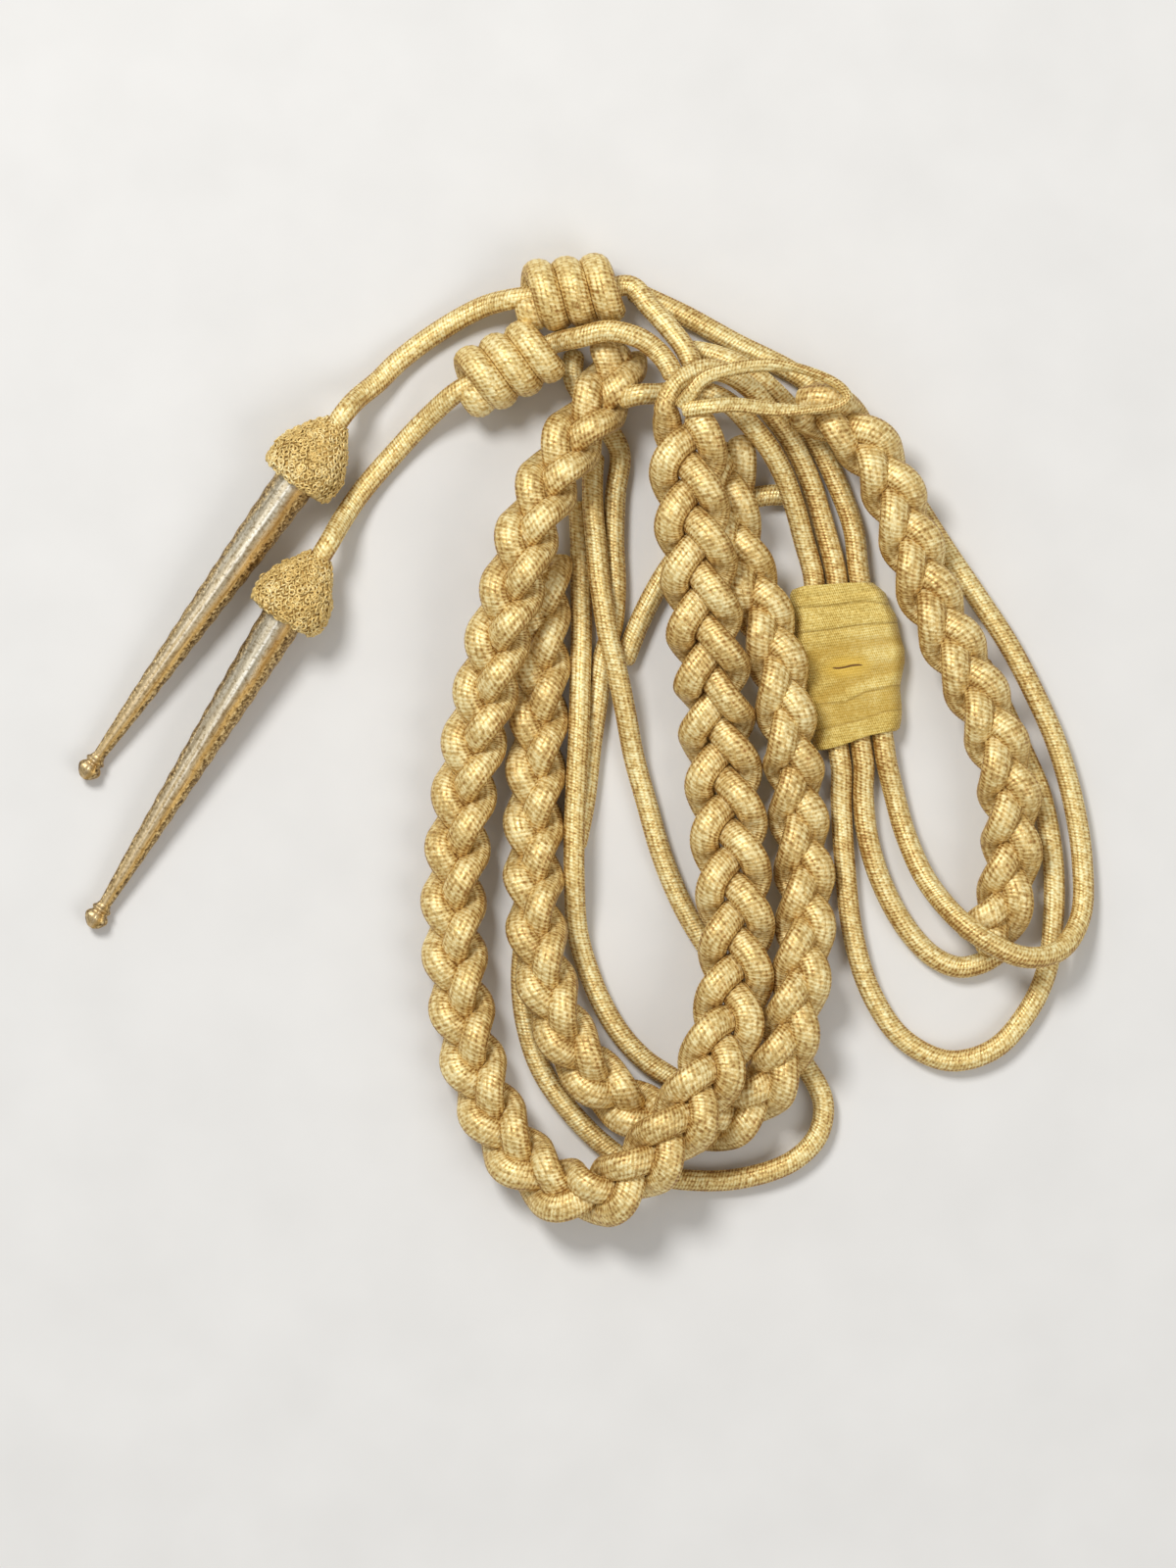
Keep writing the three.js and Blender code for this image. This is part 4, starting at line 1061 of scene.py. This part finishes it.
def tab_section(along, columns):
    """One closed outline round the tab at a place along it, and the passage inside it."""
    left = np.interp(along, TAB_EDGES["along"], TAB_EDGES["left"])
    right = np.interp(along, TAB_EDGES["along"], TAB_EDGES["right"])
    share = np.linspace(0, 1, columns)
    packed = (0.5 - 0.5 * np.cos(math.pi * share)) * 0.35 + share * 0.65  # closer together at both edges
    across = left + (right - left) * packed
    end_top = line_height(TAB_TOP_END, across)
    end_low = line_height(TAB_LOW_END, across)
    run = (along - TAB_EDGES["along"][0]) / (TAB_EDGES["along"][-1] - TAB_EDGES["along"][0])
    place = end_low + (end_top - end_low) * run
    from_edge = np.minimum(across - left, right - across)
    height, sunk = tab_top(across, place)
    top = TAB_SHOULDER + (height - TAB_SHOULDER) * quarter_round(from_edge / TAB_ROUNDING)
    bottom = TAB_UNDERSIDE - 1.3 * quarter_round(from_edge / TAB_UNDER_ROUNDING)
    outer = np.vstack([np.stack([across, place, top], axis=1),
                       np.stack([across, place, bottom], axis=1)[::-1]])
    half = 1.5 * TAB_CORD_PITCH + 0.3
    inner_across = TAB_MIDDLE + half * np.linspace(-1, 1, columns)
    inner_place = np.interp(inner_across, across, place)
    near = np.abs(inner_across - TAB_MIDDLE) / half
    arch = np.sqrt(np.clip(1 - near ** 8, 0, 1))
    under_top = np.interp(inner_across, across, top) - TAPE_WALL
    inner_top = np.minimum(PASSAGE_MIDDLE + PASSAGE_RISE * arch, under_top)
    inner_low = PASSAGE_MIDDLE - PASSAGE_DROP * arch
    inner = np.vstack([np.stack([inner_across, inner_place, inner_top], axis=1),
                       np.stack([inner_across, inner_place, inner_low], axis=1)[::-1]])
    return outer, inner, np.vstack([sunk, np.zeros((columns, 2))])


TAB_ROWS = 140
TAB_COLUMNS = 80
PASSAGE_STRIDE = 12  # rows of the outside to one of the passage


def make_tab():
    stations = np.linspace(TAB_EDGES["along"][0], TAB_EDGES["along"][-1], TAB_ROWS)
    sections = [tab_section(station, TAB_COLUMNS) for station in stations]
    outer = np.array([section[0] for section in sections])
    inner = np.array([section[1] for section in sections[::PASSAGE_STRIDE] + sections[-1:]])[::-1]
    points = np.concatenate([outer, inner]).reshape(-1, 3)
    rings = TAB_ROWS + len(inner)
    faces = ring_grid(rings, 2 * TAB_COLUMNS, closed=True)[0]
    uv = points[faces.ravel()][:, :2] / MAP_UNIT
    sunk = np.zeros((rings, 2 * TAB_COLUMNS, 2))
    sunk[:TAB_ROWS] = [section[2] for section in sections]
    along = way(TAB)
    across = np.cross(along, UP)
    world = np.array([TAB["x"], TAB["y"], 0]) + points[:, :1] * across + points[:, 1:2] * along
    world = world + points[:, 2:] * UP
    piece = mesh_object("button_tab_tape", to_row(world), faces, tape_gold, uv=uv, uv_name="tape")
    # The second map holds how far the top sinks and its creases, which the tape's colour turns into painted
    # shade.
    layer = piece.data.uv_layers.new(name="sunk")
    layer.data.foreach_set("uv", sunk.reshape(-1, 2)[faces.ravel()].astype(np.float32).ravel())
    return piece


tab_piece = make_tab()
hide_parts("button_tab")


# Hanging loop: a narrow flat braid that turns on edge at its far end

TAPE_WIDTH = 3.7
TAPE_THICKNESS = 2.2
TAPE_POINTS = [
    [25.2, 85.6, 27.4], [28, 88.8, 27.4], [34.8, 91.2, 25.4], [45.6, 92.4, 22.4], [55, 90.6, 21],
    [61.4, 87.4, 20.6], [63.4, 84.6, 20.4], [60.4, 82.4, 20.6], [54, 81.6, 21.2], [45.6, 81.6, 22.8],
    [35.8, 82.6, 26.2], [29.6, 82.2, 28.2],
]
TAPE_ROLL_SHARES = [0, 0.25, 0.42, 0.6, 0.78, 1]
TAPE_ROLLS = [20, 30, 80, 80, 20, 5]

route = Route([[22.2, 82, 24.8]] + TAPE_POINTS + [[22.8, 81.4, 25.6]])  # both ends run on into the bundle
stations = np.linspace(0, route.length, int(route.length / RING_STEP) + 1)
line = smooth(route.at(stations), 4)
level = unit(np.cross(route.tangent(stations), UP))
roll = np.radians(eased(TAPE_ROLL_SHARES, TAPE_ROLLS, stations / route.length))[:, None]
tops = UP * np.cos(roll) + level * np.sin(roll)
tape_piece = braided_tube("tape_loop_braid", line, tops, TAPE_WIDTH, TAPE_THICKNESS,
                          loop_gold, sides=LOOP_SIDES, rounding=0.8)
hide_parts("tape_loop")


# Floor, light and world, in metres
FLOOR_HALF = 3.0
FLOOR_DROP = 0.0003


def floor():
    mesh = bpy.data.meshes.new("floor")
    corners = [(x * FLOOR_HALF, y * FLOOR_HALF, 0) for x, y in ((-1, -1), (1, -1), (1, 1), (-1, 1))]
    mesh.from_pydata(corners, [], [(0, 1, 2, 3)])
    material, tree = new_material("floor")
    n = Nodes(tree)
    speck = n.noise(n.object_place(), 40.0, 3.0)
    n.finish(n.ramp(speck, [(0.3, (0.70, 0.69, 0.67)), (0.7, (0.73, 0.72, 0.70))]), 0.9, 0.0)
    mesh.materials.append(material)
    piece = bpy.data.objects.new("floor", mesh)
    piece.location = (0, 0, -FLOOR_DROP)
    bpy.context.scene.collection.objects.link(piece)


def area_light(name, place, size, power):
    """A round lamp that shines on the part's middle."""
    data = bpy.data.lights.new(name, "AREA")
    data.shape = "DISK"
    data.size = size
    data.energy = power
    lamp = bpy.data.objects.new(name, data)
    lamp.location = place
    x, y, z = place
    lamp.rotation_euler = (math.atan2(math.hypot(x, y), z), 0, math.atan2(x, -y))
    bpy.context.scene.collection.objects.link(lamp)


floor()
area_light("key", (-0.5, 0.7, 1.3), 0.5, 17)
area_light("fill", (0.9, -0.6, 1.2), 0.9, 6)
world = bpy.data.worlds.new("studio")
world.use_nodes = True
world.node_tree.nodes["Background"].inputs[0].default_value = (1, 0.99, 0.97, 1)
world.node_tree.nodes["Background"].inputs[1].default_value = 0.42
bpy.context.scene.world = world
bpy.context.scene.view_settings.view_transform = "Standard"
